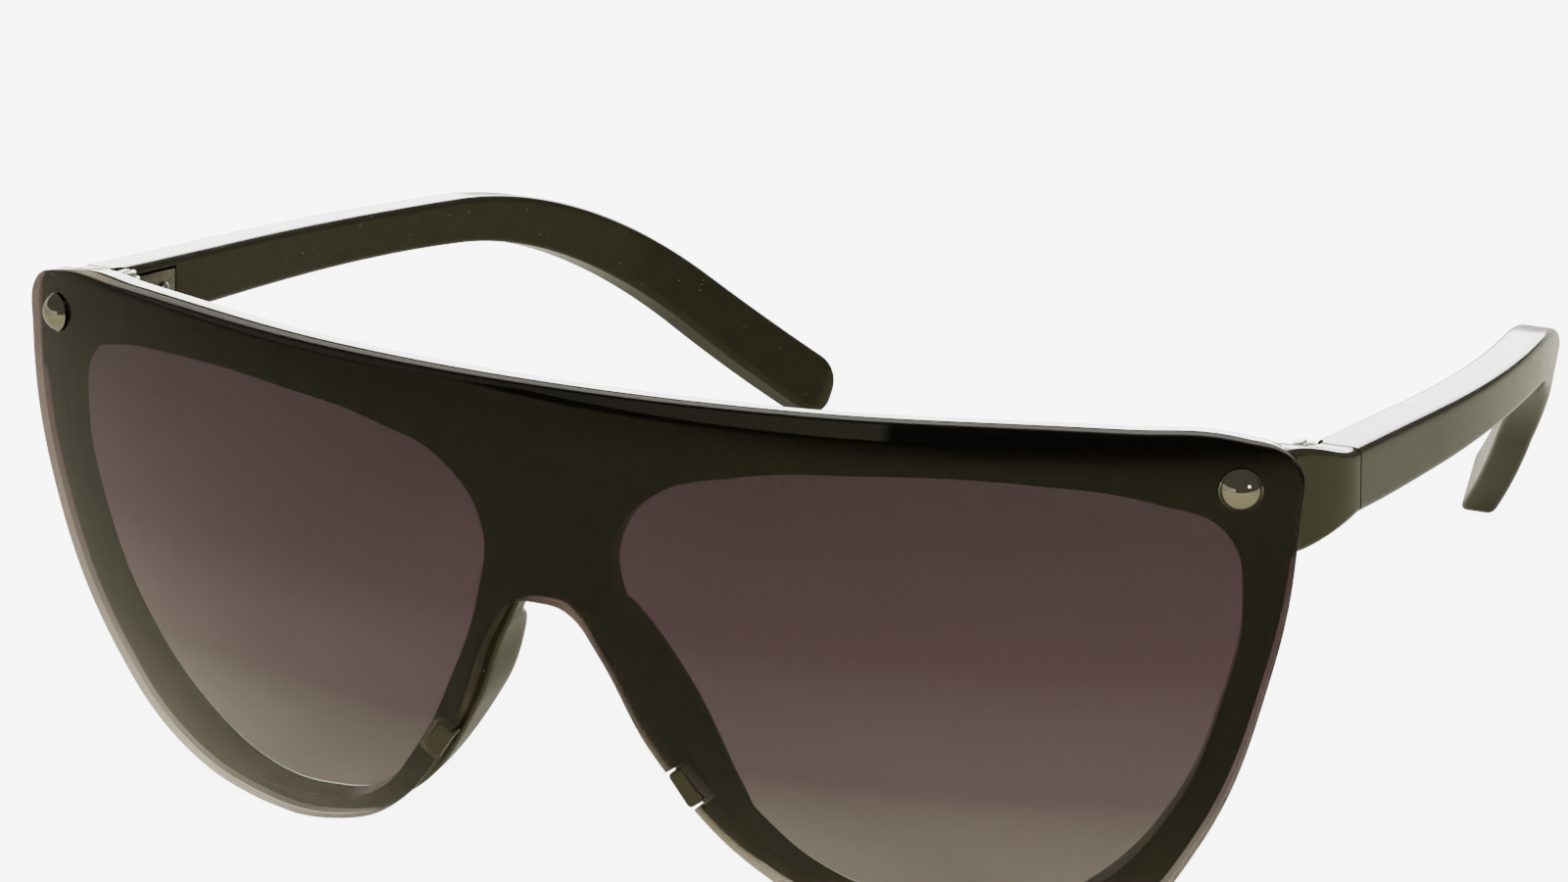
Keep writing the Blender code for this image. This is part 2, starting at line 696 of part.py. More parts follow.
def make_nut():
    high = nut_seat() - FINE_GAP * 2 - WASHER_THICKNESS
    low = high - NUT_HEIGHT
    nut = rod("stud_nut_left", NUT_RADIUS, low, high, stud_place(), sides=6, material=HINGE_STEEL)
    bore = rod("nut_bore", STUD_SHANK_RADIUS + FINE_GAP, low - OVERRUN, high + OVERRUN, stud_place())
    combine(nut, bore, "DIFFERENCE")
    return nut


def barrel_spans():
    """Low and high of the three barrels, lowest first."""
    lows = [number * BARREL_PITCH - STACK_HALF for number in range(BARREL_COUNT)]
    return [(low, low + BARREL_HEIGHT) for low in lows]


def make_leaf(name, spans, arm_back, plate):
    """A leaf from its first barrel, the arms from the barrels to the plate, and the plate."""
    leaf = rod(name, BARREL_RADIUS, *spans[0], HINGE_PLACE, material=HINGE_STEEL)
    outer = LEAF_FACE + LEAF_THICKNESS
    for number, (low, high) in enumerate(spans):
        if number:
            combine(leaf, rod(f"{name}_barrel_{number}", BARREL_RADIUS, low, high, HINGE_PLACE), "UNION")
        near, far = sorted((0.0, arm_back))
        arm = block(f"{name}_arm_{number}", (LEAF_FACE, near, low), (outer, far, high), HINGE_PLACE)
        combine(leaf, arm, "UNION")
    combine(leaf, plate, "UNION")
    bore = rod(f"{name}_bore", HINGE_SCREW_RADIUS + FINE_GAP, -OVERRUN, OVERRUN, HINGE_PLACE)
    combine(leaf, bore, "DIFFERENCE")
    return leaf


def make_front_leaf():
    outer = LEAF_FACE + LEAF_THICKNESS
    clear = NOTCH_RADIUS + FINE_GAP
    plate = block(
        "front_leaf_plate",
        (LEAF_FACE, -FRONT_LEAF_LENGTH, -STACK_HALF),
        (outer, -clear, STACK_HALF),
        HINGE_PLACE,
    )
    outer_spans = barrel_spans()[::2]
    leaf = make_leaf("front_hinge_leaf_left", outer_spans, -clear - FINE_GAP, plate)
    cut_leaf_screw_holes(leaf, "front_leaf_hole", leaf_screw_spots_front(), OVERRUN)
    return leaf


def make_temple_leaf():
    outer = LEAF_FACE + LEAF_THICKNESS
    clear = NOTCH_RADIUS + FINE_GAP
    half = TEMPLE_LEAF_HEIGHT / 2
    slope = HINGE_PLACE @ Matrix.Rotation(-TEMPLE_SLOPE, 4, "X")
    plate = block(
        "temple_leaf_plate",
        (LEAF_FACE, clear + FINE_GAP, -half),
        (outer, TEMPLE_LEAF_LENGTH, half),
        slope,
    )
    middle_spans = barrel_spans()[1::2]
    leaf = make_leaf("temple_hinge_leaf_left", middle_spans, clear + SEAT_GAP * 2, plate)
    cut_leaf_screw_holes(leaf, "temple_leaf_hole", leaf_screw_spots_temple(), OVERRUN)
    return leaf


def make_hinge_screw():
    """Hinge screw: a slotted cheese head on the top barrel and a shank through all three."""
    seat = STACK_HALF + FINE_GAP
    top = seat + HINGE_SCREW_HEAD_HEIGHT
    profile = [
        (0.0, top),
        (HINGE_SCREW_HEAD_RADIUS, top),
        (HINGE_SCREW_HEAD_RADIUS, seat),
        (HINGE_SCREW_RADIUS, seat),
        (HINGE_SCREW_RADIUS, -STACK_HALF),
        (0.0, -STACK_HALF),
    ]
    screw = turned("hinge_screw_left", profile, HINGE_PLACE, HINGE_STEEL)
    half = SLOT_WIDTH / 2
    low, high = (-half, -BARREL_RADIUS, top - SLOT_DEPTH), (half, BARREL_RADIUS, top + SEAT_GAP)
    combine(screw, block("hinge_screw_slot", low, high, HINGE_PLACE), "DIFFERENCE")
    return screw


def make_leaf_screws(names, spots):
    """Two small screws through a leaf into the plastic, heads on the inner side."""
    dome = LEAF_SCREW_HEAD_HEIGHT
    profile = [
        (0.0, dome),
        (LEAF_SCREW_HEAD_RADIUS * LEAF_SCREW_CROWN_SHARES[0], dome * LEAF_SCREW_CROWN_SHARES[1]),
        (LEAF_SCREW_HEAD_RADIUS, 0.0),
        (LEAF_SCREW_RADIUS, 0.0),
        (LEAF_SCREW_RADIUS, -LEAF_SCREW_LENGTH),
        (0.0, -LEAF_SCREW_LENGTH),
    ]
    screws = []
    for name, (back, up) in zip(names, spots):
        place = HINGE_PLACE @ facing((LEAF_FACE - FINE_GAP, back, up), (-1.0, 0.0, 0.0))
        screws.append(turned(name, profile, place, HINGE_STEEL, sides=SCREW_STEPS))
    return screws


def temple_height(distance):
    if distance < TEMPLE_WAIST:
        return mix(TEMPLE_HINGE_HEIGHT, TEMPLE_WAIST_HEIGHT, smooth(distance / TEMPLE_WAIST))
    share = (distance - TEMPLE_WAIST) / (TEMPLE_BODY_LENGTH - TEMPLE_WAIST)
    return mix(TEMPLE_WAIST_HEIGHT, TEMPLE_TIP_HEIGHT, smooth(share))


def temple_section(distance, shrink=1.0, beyond=0.0):
    """One rounded section of the temple: square to the hinge at first, then square to its run."""
    back, up, slope = temple_top(distance)
    tilt = slope * smooth(distance / SQUARE_END)
    height = temple_height(distance)
    thickness = mix(TEMPLE_THICKNESS, TEMPLE_TIP_THICKNESS, smooth(distance / TEMPLE_BODY_LENGTH))
    inwards = arc_sag(max(distance + beyond - INWARD_START, 0.0), INWARD_RADIUS)
    along = Vector((0.0, math.cos(slope), -math.sin(slope)))
    upright = Vector((0.0, math.sin(tilt), math.cos(tilt)))
    centre = Vector((LEAF_FACE + TEMPLE_THICKNESS - inwards - thickness / 2, back, up))
    centre += along * beyond - upright * height / 2
    width = thickness * mix(TIP_EDGE_SHARE, 1.0, shrink)
    ring = rounded_rectangle(width, height * shrink, TEMPLE_CORNER_RADIUS)
    return [centre + Vector((point.x, 0.0, 0.0)) + upright * point.y for point in ring]


def temple_rings():
    start = SEAT_GAP / 2
    bend_end = TEMPLE_STRAIGHT + BEND_LENGTH
    distances = [mix(start, TEMPLE_STRAIGHT, n / STRAIGHT_STEPS) for n in range(STRAIGHT_STEPS)]
    distances += [mix(TEMPLE_STRAIGHT, bend_end, n / BEND_STEPS) for n in range(BEND_STEPS)]
    distances += [mix(bend_end, TEMPLE_BODY_LENGTH, n / TIP_STEPS) for n in range(TIP_STEPS + 1)]
    rings = [temple_section(distance) for distance in distances]
    for step in range(1, TIP_ROUND_STEPS + 1):
        angle = math.radians(90) * step / (TIP_ROUND_STEPS + LAST_STEP_SHARE)
        beyond = TIP_ROUNDING * math.sin(angle)
        rings.append(temple_section(TEMPLE_BODY_LENGTH, math.cos(angle), beyond))
    return rings


def make_temple():
    temple = loft("temple_left", temple_rings(), HINGE_PLACE, FRAME_PLASTIC)
    slope = HINGE_PLACE @ Matrix.Rotation(-TEMPLE_SLOPE, 4, "X")
    half = TEMPLE_LEAF_HEIGHT / 2 + SEAT_GAP
    recess = block(
        "temple_leaf_recess",
        (-OVERRUN, -OVERRUN, -half),
        (RECESS_FLOOR, TEMPLE_LEAF_LENGTH + SEAT_GAP, half),
        slope,
    )
    combine(temple, recess, "DIFFERENCE")
    past = TEMPLE_HINGE_HEIGHT
    notch = rod("temple_barrel_notch", NOTCH_RADIUS, -past, past, HINGE_PLACE)
    combine(temple, notch, "DIFFERENCE")
    screw_end = LEAF_FACE + LEAF_SCREW_LENGTH + FINE_GAP
    cut_leaf_screw_holes(temple, "temple_leaf_screw_hole", leaf_screw_spots_temple(), screw_end)
    return temple


def build():
    front = datum("front_datum", FRONT_PLACE)
    hinge_left = datum("hinge_datum_left", HINGE_PLACE)
    mirrored = HINGE_PLACE.copy()
    mirrored.translation.x = -HINGE_X
    hinge_right = datum("hinge_datum_right", mirrored)
    fixed = [make_stud(), make_washer(), make_nut(), make_front_leaf(), make_hinge_screw()]
    fixed += make_leaf_screws(FRONT_SCREW_NAMES, leaf_screw_spots_front())
    moving = [make_temple(), make_temple_leaf()]
    moving += make_leaf_screws(TEMPLE_SCREW_NAMES, leaf_screw_spots_temple())
    for piece in fixed:
        mirrored_copy(piece, piece.name.replace("left", "right"), front)
        attach(piece, front)
    for piece in moving:
        mirrored_copy(piece, piece.name.replace("left", "right"), hinge_right)
        attach(piece, hinge_left)
    for piece in (make_frame(), make_lens()):
        attach(piece, front)


build()
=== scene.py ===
# %% [markdown]
# # Flat-top shield sunglasses
# The glasses are a moulded plastic front with two eye openings, one tinted lens laid over the whole of
# it, two folding temples and a handful of small metal fittings. The construction model gives every
# piece its size and its hinge, and this script gives it its fine surface and its finish.

# %% Load the construction model
import json
import math

import bmesh
import bpy
import numpy as np
from mathutils import Matrix, Vector


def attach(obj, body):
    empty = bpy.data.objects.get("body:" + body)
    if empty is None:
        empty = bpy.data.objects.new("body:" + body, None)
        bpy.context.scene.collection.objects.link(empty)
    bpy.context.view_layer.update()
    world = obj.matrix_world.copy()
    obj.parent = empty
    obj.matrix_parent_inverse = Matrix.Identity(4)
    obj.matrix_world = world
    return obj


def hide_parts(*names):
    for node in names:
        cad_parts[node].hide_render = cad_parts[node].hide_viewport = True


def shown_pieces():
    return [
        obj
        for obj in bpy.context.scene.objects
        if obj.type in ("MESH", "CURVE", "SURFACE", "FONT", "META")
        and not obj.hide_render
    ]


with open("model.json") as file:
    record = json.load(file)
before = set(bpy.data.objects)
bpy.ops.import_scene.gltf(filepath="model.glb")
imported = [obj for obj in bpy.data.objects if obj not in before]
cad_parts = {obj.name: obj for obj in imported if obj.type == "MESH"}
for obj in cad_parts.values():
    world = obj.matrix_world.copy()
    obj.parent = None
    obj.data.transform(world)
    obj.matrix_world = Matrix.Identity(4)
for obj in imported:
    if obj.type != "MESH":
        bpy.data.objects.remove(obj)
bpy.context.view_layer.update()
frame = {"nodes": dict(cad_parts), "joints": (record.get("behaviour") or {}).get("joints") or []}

# %% [markdown]
# ## The curved front
# A shield lens bends twice: round the face from temple to temple, and a little from brow to cheek. Both
# bends are arcs, so the depth of the front is the sum of two arc sags. The front leans back a little.
# Everything on it is drawn in its own frame, with x across, y back and z up from the brow.

# %% The front's own frame
SIDES = ((1, "left"), (-1, "right"))
FRONT_LEAN = math.radians(0.8)
WRAP_RADIUS = 0.1685
DROP_RADIUS = 0.110
DROP_CENTRE = -0.0226
LENS_HALF_WIDTH = 0.0724
LENS_HEIGHT = 0.0558
LENS_THICKNESS = 0.0020
SEAT_GAP = 0.0003
RIM_THICKNESS = 0.0026
RIM_FRONT = LENS_THICKNESS + SEAT_GAP
RIM_BACK = RIM_FRONT + RIM_THICKNESS
HINGE_SETBACK = 0.0288
HINGE_DROP = 0.0084
HINGE = np.array(frame["joints"][0]["pos_m"])


def lean(points):
    """Turns points of the front's frame by its lean: y and z turn about x."""
    sine, cosine = math.sin(FRONT_LEAN), math.cos(FRONT_LEAN)
    x, y, z = np.moveaxis(np.asarray(points, float), -1, 0)
    return np.stack([x, y * cosine - z * sine, y * sine + z * cosine], -1)


FRONT_PLACE = HINGE - lean((HINGE[0], HINGE_SETBACK, -HINGE_DROP))
print("brow line is", round(FRONT_PLACE[2] * 1000, 2), "mm above the ground")

# %% [markdown]
# A point of the front is given by a spot, which is its x and z, and by how far behind the lens face it
# lies, measured square to the face. That one rule makes the lens, the rim behind it, the walls of the
# eye openings and the nose pads stand true to the curve.


# %% Points on and behind the lens face
def sag(distance, radius):
    """Fall of an arc from its tangent: the radius less the root of radius squared less distance squared."""
    return radius - np.sqrt(radius**2 - distance**2)


def face(spots):
    """Depth of the lens face: the sag of the wrap at x plus the sag of the drop at z."""
    return sag(spots[..., 0], WRAP_RADIUS) + sag(spots[..., 1] - DROP_CENTRE, DROP_RADIUS)


def face_normal(spots):
    """Unit normal of the lens face that points back: minus the slope in x, one, minus the slope in z."""
    x, z = spots[..., 0], spots[..., 1] - DROP_CENTRE
    slope_x = x / np.sqrt(WRAP_RADIUS**2 - x**2)
    slope_z = z / np.sqrt(DROP_RADIUS**2 - z**2)
    normal = np.stack([-slope_x, np.ones_like(slope_x), -slope_z], -1)
    return normal / np.linalg.norm(normal, axis=-1, keepdims=True)


def behind(spots, distance):
    """The face points at spots, moved back along the normal by a distance, in the front's frame."""
    points = np.stack([spots[..., 0], face(spots), spots[..., 1]], -1)
    return points + face_normal(spots) * np.asarray(distance, float)[..., None]


def on_model(points):
    """Points of the front's frame as places on the model."""
    return lean(points) + FRONT_PLACE


# %% [markdown]
# ## Outlines
# The lens outline runs from the middle of the flat brow round the temple corner and the cheek to the top
# of the nose arch. A smooth curve through a few knots draws it, with the knots as shares of the half
# width and of the height. The frame's outline moves the knots towards the middle of the eye, or away
# from it beside the nose, by shares of the overhang. The eye opening is drawn in the same way.

# %% Knots of the outlines
LENS_SIZE = np.array((LENS_HALF_WIDTH, LENS_HEIGHT))
LENS_SHARES = [(0.39, 0.0), (0.788, -0.004), (0.928, -0.017), (0.994, -0.056), (1.0, -0.149)]
LENS_SHARES += [(0.968, -0.443), (0.87, -0.77), (0.761, -0.937), (0.605, -1.0), (0.434, -0.976)]
LENS_SHARES += [(0.287, -0.874), (0.155, -0.654), (0.086, -0.471), (0.044, -0.402)]
LENS_KNOTS = np.array(LENS_SHARES) * LENS_SIZE
ARCH_KNOT = np.array([(0.0, -0.391)]) * LENS_SIZE
EYE_SHARES = [(0.102, -0.279), (0.161, -0.179), (0.276, -0.131), (0.445, -0.109), (0.671, -0.109)]
EYE_SHARES += [(0.82, -0.136), (0.903, -0.184), (0.925, -0.301), (0.898, -0.496), (0.829, -0.708)]
EYE_SHARES += [(0.714, -0.875), (0.603, -0.95), (0.479, -0.947), (0.362, -0.896), (0.258, -0.762)]
EYE_SHARES += [(0.174, -0.591), (0.112, -0.401)]
EYE_KNOTS = np.array(EYE_SHARES) * LENS_SIZE
EYE_CENTRE = np.array((0.52, -0.45)) * LENS_SIZE
OVERHANG = 0.0004
OVERHANG_SHARES = np.array([0.0, 0.0, 0.1, 0.3, 0.6, 1.0, 1.0, 1.0, 1.0, 0.6, -0.6, -1.8, -2.0, -1.0])
CURVE_STEPS = 24


def placed(name, data):
    """A new object of the scene with the given data."""
    item = bpy.data.objects.new(name, data)
    bpy.context.scene.collection.objects.link(item)
    return item


def worked_out(item):
    """The mesh that an object's curve or modifiers give. The object itself is deleted."""
    bpy.context.view_layer.update()
    result = bpy.data.meshes.new_from_object(item.evaluated_get(bpy.context.evaluated_depsgraph_get()))
    bpy.data.objects.remove(item, do_unlink=True)
    return result


def triples(elements, key):
    """Places or normals of a mesh's points or faces, as rows of x, y and z."""
    values = np.zeros(len(elements) * 3)
    elements.foreach_get(key, values)
    return values.reshape(-1, 3)


def smooth_loop(knots):
    """A closed curve through the knots, as a dense loop of spots that starts at the first knot."""
    curve = bpy.data.curves.new("drawing", "CURVE")
    curve.resolution_u = CURVE_STEPS
    spline = curve.splines.new("BEZIER")
    spline.bezier_points.add(len(knots) - 1)
    spline.use_cyclic_u = True
    for knot, (x, z) in zip(spline.bezier_points, knots):
        knot.co = (x, z, 0.0)
        knot.handle_left_type = knot.handle_right_type = "AUTO"
    mesh = worked_out(placed("drawing", curve))
    points = triples(mesh.vertices, "co")
    bpy.data.meshes.remove(mesh)
    return points[:, :2]


def left_half(half_knots):
    """The outline on the wearer's left, from the brow's middle round to the middle of the nose arch."""
    knots = np.vstack([half_knots, ARCH_KNOT, half_knots[::-1] * (-1, 1)])
    loop = smooth_loop(knots)
    brow = (len(knots) - 1) * CURVE_STEPS + CURVE_STEPS // 2
    half = np.vstack([loop[brow:], loop[: len(half_knots) * CURVE_STEPS + 1]])
    half[[0, -1], 0] = 0.0
    return half


def evenly(points, count):
    """The same line with count points, evenly spaced along it."""
    steps = np.linalg.norm(np.diff(points, axis=0), axis=1)
    along = np.concatenate([[0.0], np.cumsum(steps)])
    wanted = np.linspace(0.0, along[-1], count)
    return np.stack([np.interp(wanted, along, points[:, axis]) for axis in (0, 1)], -1)


LENS_HALF = left_half(LENS_KNOTS)
TOWARDS_EYE = EYE_CENTRE - LENS_KNOTS
TOWARDS_EYE /= np.linalg.norm(TOWARDS_EYE, axis=1, keepdims=True)
RIM_HALF = left_half(LENS_KNOTS + TOWARDS_EYE * OVERHANG * OVERHANG_SHARES[:, None])
EYE_LOOP = smooth_loop(EYE_KNOTS)
print("outline", len(LENS_HALF), "points, lens is", round(LENS_HALF[:, 0].max() * 2000, 1), "mm wide")

# %% [markdown]
# ## Meshes from arrays
# Every new surface is a grid of points, handed to the mesh as one array. Grids that share a border are
# welded there, mirrored halves are welded along the middle, and the faces are then turned outwards.

# %% Grid helpers
WELD = 1e-6


def joined_grids(name, grids):
    """One mesh from several grids: a list of (array of rows by columns by 3, whether rows close).

    The corners of a quad are a point, the next one of its row, and the two after those in the next row.
    """
    quads, count = [], 0
    for grid, closed in grids:
        rows, columns = grid.shape[:2]
        row = count + np.arange(rows - 1)[:, None] * columns
        column = np.arange(columns if closed else columns - 1)
        after = (column + 1) % columns
        corners = [row + column, row + after, row + columns + after, row + columns + column]
        quads.append(np.stack(corners, -1).reshape(-1, 4))
        count += rows * columns
    points, quads = np.vstack([grid.reshape(-1, 3) for grid, _ in grids]), np.vstack(quads)
    mesh = bpy.data.meshes.new(name)
    mesh.vertices.add(len(points))
    mesh.vertices.foreach_set("co", points.astype(np.float32).ravel())
    mesh.loops.add(quads.size)
    mesh.loops.foreach_set("vertex_index", quads.ravel().astype(np.int32))
    mesh.polygons.add(len(quads))
    mesh.polygons.foreach_set("loop_start", np.arange(len(quads), dtype=np.int32) * 4)
    mesh.update(calc_edges=True)
    return mesh


def weld(mesh):
    """Merges doubled points, drops faces that lost their area and turns the rest outwards."""
    edit = bmesh.new()
    edit.from_mesh(mesh)
    bmesh.ops.remove_doubles(edit, verts=edit.verts, dist=WELD)
    bmesh.ops.dissolve_degenerate(edit, edges=edit.edges, dist=WELD / 10)
    bmesh.ops.recalc_face_normals(edit, faces=edit.faces)
    open_edges = sum(1 for edge in edit.edges if not edge.is_manifold)
    edit.to_mesh(mesh)
    edit.free()
    return open_edges


def add_piece(name, mesh, body, node, sharp=None):
    """A finished piece that rides on a body and stands for a node of the construction model."""
    open_edges = weld(mesh)
    mesh.shade_smooth()
    if sharp is not None:
        mesh.set_sharp_from_angle(angle=sharp)
    piece = placed(name, mesh)
    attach(piece, body)
    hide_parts(node)
    print(f"{name}: {len(mesh.polygons)} faces, {open_edges} open edges")
    return piece


def both_sides(grids):
    """Grids of the front, and their mirror images across the middle, as places on the model."""
    grids = [(on_model(grid), closed) for grid, closed in grids]
    return grids + [(grid * (-1, 1, 1), closed) for grid, closed in grids]


# %% [markdown]
# ## Rounded edges
# The edge of a moulded or polished sheet is never sharp. Going round it from the front, the line leaves
# the face, turns a quarter of a small circle, runs straight back, turns again and meets the back face.
# The band below carries that line along an outline, for every point of the outline at once.

# %% The band round an edge
FILLET_STEPS = 6
WALL_STEPS = 4


def inward_normals(line, closed, sign=1.0):
    """Unit normals of a line of spots, to the right of its run, or to the left if sign is -1."""
    if closed:
        run = np.roll(line, -1, axis=0) - np.roll(line, 1, axis=0)
    else:
        run = np.gradient(line, axis=0)
        run[[0, -1], 1] = 0.0
    normal = np.stack([run[:, 1], -run[:, 0]], -1) * sign
    return normal / np.linalg.norm(normal, axis=1, keepdims=True)


def edge_band(line, normals, front, back, front_radius, back_radius):
    """Rows from the front face round the edge to the back face, as points of the front's frame.

    The inset is radius times one minus the sine on the front fillet, nought on the wall and radius times
    one minus the cosine on the back fillet; the depth follows the same two quarter circles.
    """
    front_radius, back_radius, back = (
        np.broadcast_to(value, len(line))[:, None] for value in (front_radius, back_radius, back)
    )
    turn = np.linspace(0.0, math.pi / 2, FILLET_STEPS)
    run = np.linspace(0.0, 1.0, WALL_STEPS + 2)[1:-1]
    wall = (front + front_radius) * (1 - run) + (back - back_radius) * run
    inset = [front_radius * (1 - np.sin(turn)), wall * 0.0, back_radius * (1 - np.cos(turn))]
    depth = [front + front_radius * (1 - np.cos(turn)), wall, back - back_radius * (1 - np.sin(turn))]
    spots = line[:, None, :] + normals[:, None, :] * np.hstack(inset)[..., None]
    return behind(spots, np.hstack(depth)).swapaxes(0, 1)


# %% [markdown]
# ## The frame moulding
# The plate of the frame is a ring round each eye opening, and the two rings meet along the middle line.
# One direction of its grid runs round the ring, the other from its outer border to its eye opening. Each
# outer point is joined to the point of the eye opening that lies in the same direction from the middle
# of the eye, with a small share of even spacing so that no two of them meet. The nose pads are no
# separate piece: beside the nose the back of the rim takes the depth of an egg-shaped swelling.

# %% Depth of the back of the rim, with its nose pads
PAD_CENTRE = np.array((0.178, -0.600)) * LENS_SIZE
PAD_HALF_SIZES = np.array((0.0110, 0.0122, 0.0250)) / 2
PAD_SLANT = math.radians(25)
PAD_SPLAY = math.radians(18)
PAD_BLEND = 0.0030
PAD_TURN = np.array(Matrix.Rotation(-PAD_SLANT, 3, "Y") @ Matrix.Rotation(-PAD_SPLAY, 3, "Z"))
PAD_MIDDLE = behind(PAD_CENTRE, (RIM_FRONT + RIM_BACK) / 2)


def rim_back(spots):
    """Depth of the back face: the rim's back, or the far side of the nose pad's ellipsoid.

    The pad's side is where the normal through the face point leaves the ellipsoid, the larger root of a
    quadratic. A smooth maximum joins it to the flat back.
    """
    start = (behind(spots, 0.0) - PAD_MIDDLE) @ PAD_TURN / PAD_HALF_SIZES
    run = face_normal(spots) @ PAD_TURN / PAD_HALF_SIZES
    a = (run**2).sum(-1)
    b = (start * run).sum(-1)
    c = (start**2).sum(-1) - 1.0
    inside = b**2 - a * c
    root = (-b + np.sqrt(np.maximum(inside, 0.0))) / a
    pad = root + np.minimum(inside, 0.0) / a / PAD_HALF_SIZES.mean() * PAD_BLEND
    overlap = np.maximum(PAD_BLEND - np.abs(pad - RIM_BACK), 0.0)
    return np.maximum(pad, RIM_BACK) + overlap**2 / (4 * PAD_BLEND)


print("nose pads stand", round((rim_back(PAD_CENTRE) - RIM_BACK) * 1000, 1), "mm behind the rim")

# %% The plate of the frame
RING_POINTS = 420
MIDDLE_POINTS = 36
RING_ROWS = 22
EVEN_SHARE = 0.03
FRONT_FILLET = 0.0003
BACK_FILLET = 0.0005
PAD_FILLET = 0.0012
ROWS = np.linspace(0.0, 1.0, RING_ROWS)[:, None, None]


def loop_at_angles(loop, centre, angles):
    """Spots of a loop that lie in given directions from its centre."""
    around = np.arctan2(loop[:, 1] - centre[1], loop[:, 0] - centre[0])
    order = np.argsort(around)
    around, loop = around[order], loop[order]
    around = np.concatenate([around - math.tau, around, around + math.tau])
    loop = np.vstack([loop] * 3)
    return np.stack([np.interp(angles, around, loop[:, axis]) for axis in (0, 1)], -1)


def rim_edge(line, closed, sign):
    """The band round an edge of the plate, and the rows where it meets the front and the back face.

    The back edge has a larger radius where the pad stands up behind the rim.
    """
    share = np.clip((rim_back(line) - RIM_BACK) / (2 * PAD_FILLET), 0.0, 1.0)
    back_radius = BACK_FILLET + (PAD_FILLET - BACK_FILLET) * share
    normals = inward_normals(line, closed, sign)
    back_row = line + normals * back_radius[:, None]
    band = edge_band(line, normals, RIM_FRONT, rim_back(back_row), FRONT_FILLET, back_radius)
    return band, line + normals * FRONT_FILLET, back_row


def with_middle(row):
    """An outer row of the half plate, carried on along the middle line back to its start."""
    heights = np.linspace(row[-1, 1], row[0, 1], MIDDLE_POINTS + 2)[1:-1]
    return np.vstack([row, np.stack([np.zeros(MIDDLE_POINTS), heights], -1)])


outer_edge, front_row, back_row = rim_edge(evenly(RIM_HALF, RING_POINTS), False, 1.0)
front_row, back_row = with_middle(front_row), with_middle(back_row)
directions = np.arctan2(front_row[:, 1] - EYE_CENTRE[1], front_row[:, 0] - EYE_CENTRE[0])
directions = np.minimum.accumulate(np.unwrap(directions))
even = directions[0] - np.linspace(0.0, math.tau, len(directions), endpoint=False)
directions = directions + (even - directions) * EVEN_SHARE
eye_base = EYE_LOOP - face_normal(EYE_LOOP)[:, [0, 2]] * RIM_FRONT
eye = loop_at_angles(eye_base, EYE_CENTRE, np.angle(np.exp(1j * directions)))
eye_wall, eye_front_row, eye_back_row = rim_edge(eye, True, -1.0)
plate_front = behind(front_row * (1 - ROWS) + eye_front_row * ROWS, RIM_FRONT)
back_spots = back_row * (1 - ROWS) + eye_back_row * ROWS
plate_back = behind(back_spots, rim_back(back_spots))
half_plate = [(outer_edge, False), (eye_wall, True), (plate_front, True), (plate_back, True)]
add_piece("frame_rim", joined_grids("frame_rim", both_sides(half_plate)), "front", "frame_front")

# %% [markdown]
# ## The shield lens
# The lens is one sheet, 2 mm thick. Its grid runs in columns from the lower edge up to the brow. The
# columns stand closer together towards the corners, by a sine, because there the outline turns upright.
# Two small notches are cut in the nose side of its edge for the hook tabs of the frame, and two bores
# let the studs through.

# %% Lens grid
LENS_COLUMNS = 190
LENS_ROWS = 60
LENS_FILLET = 0.00022


def outline_at(branch, across):
    """Heights of one branch of the outline, brow or cheek, at distances from the middle."""
    order = np.argsort(branch[:, 0])
    return np.interp(across, branch[order, 0], branch[order, 1])


tip = int(np.argmax(LENS_HALF[:, 0]))
across = LENS_HALF[tip, 0] * np.sin(np.linspace(0.0, math.pi / 2, LENS_COLUMNS + 1))
brow_edge = np.stack([across, outline_at(LENS_HALF[: tip + 1], across)], -1)
cheek_edge = np.stack([across, outline_at(LENS_HALF[tip:], across)], -1)
lens_line = np.vstack([brow_edge, cheek_edge[-2::-1]])
lens_normals = inward_normals(lens_line, False)
lens_band = edge_band(lens_line, lens_normals, 0.0, LENS_THICKNESS, LENS_FILLET, LENS_FILLET)
inset_line = lens_line + lens_normals * LENS_FILLET
upper_row = inset_line[: LENS_COLUMNS + 1]
lower_row = inset_line[LENS_COLUMNS:][::-1]
share = np.linspace(0.0, 1.0, LENS_ROWS)[:, None, None]
lens_spots = lower_row * (1 - share) + upper_row * share
half_lens = [(lens_band, False)]
half_lens += [(behind(lens_spots, depth), False) for depth in (0.0, LENS_THICKNESS)]
lens_mesh = joined_grids("tinted_lens", both_sides(half_lens))
print("lens grid has", len(lens_mesh.polygons), "faces")

# %% [markdown]
# ## Bars and blocks with round corners
# The temples, the end pieces and the hook tabs are all carried sections: a rectangle with round corners
# that changes its size and place along a path. Two extra points beside each corner keep the flat faces
# flat when they are shaded smooth. Both ends are closed by rings that shrink to a point.

# %% Carried sections
CORNER_STEPS = 7
SUPPORT = 0.00025
CORNERS = np.array([(1, 1), (-1, 1), (-1, -1), (1, -1)], float)
CAP_SHARES = np.array([0.8, 0.4, 0.0])[:, None, None]


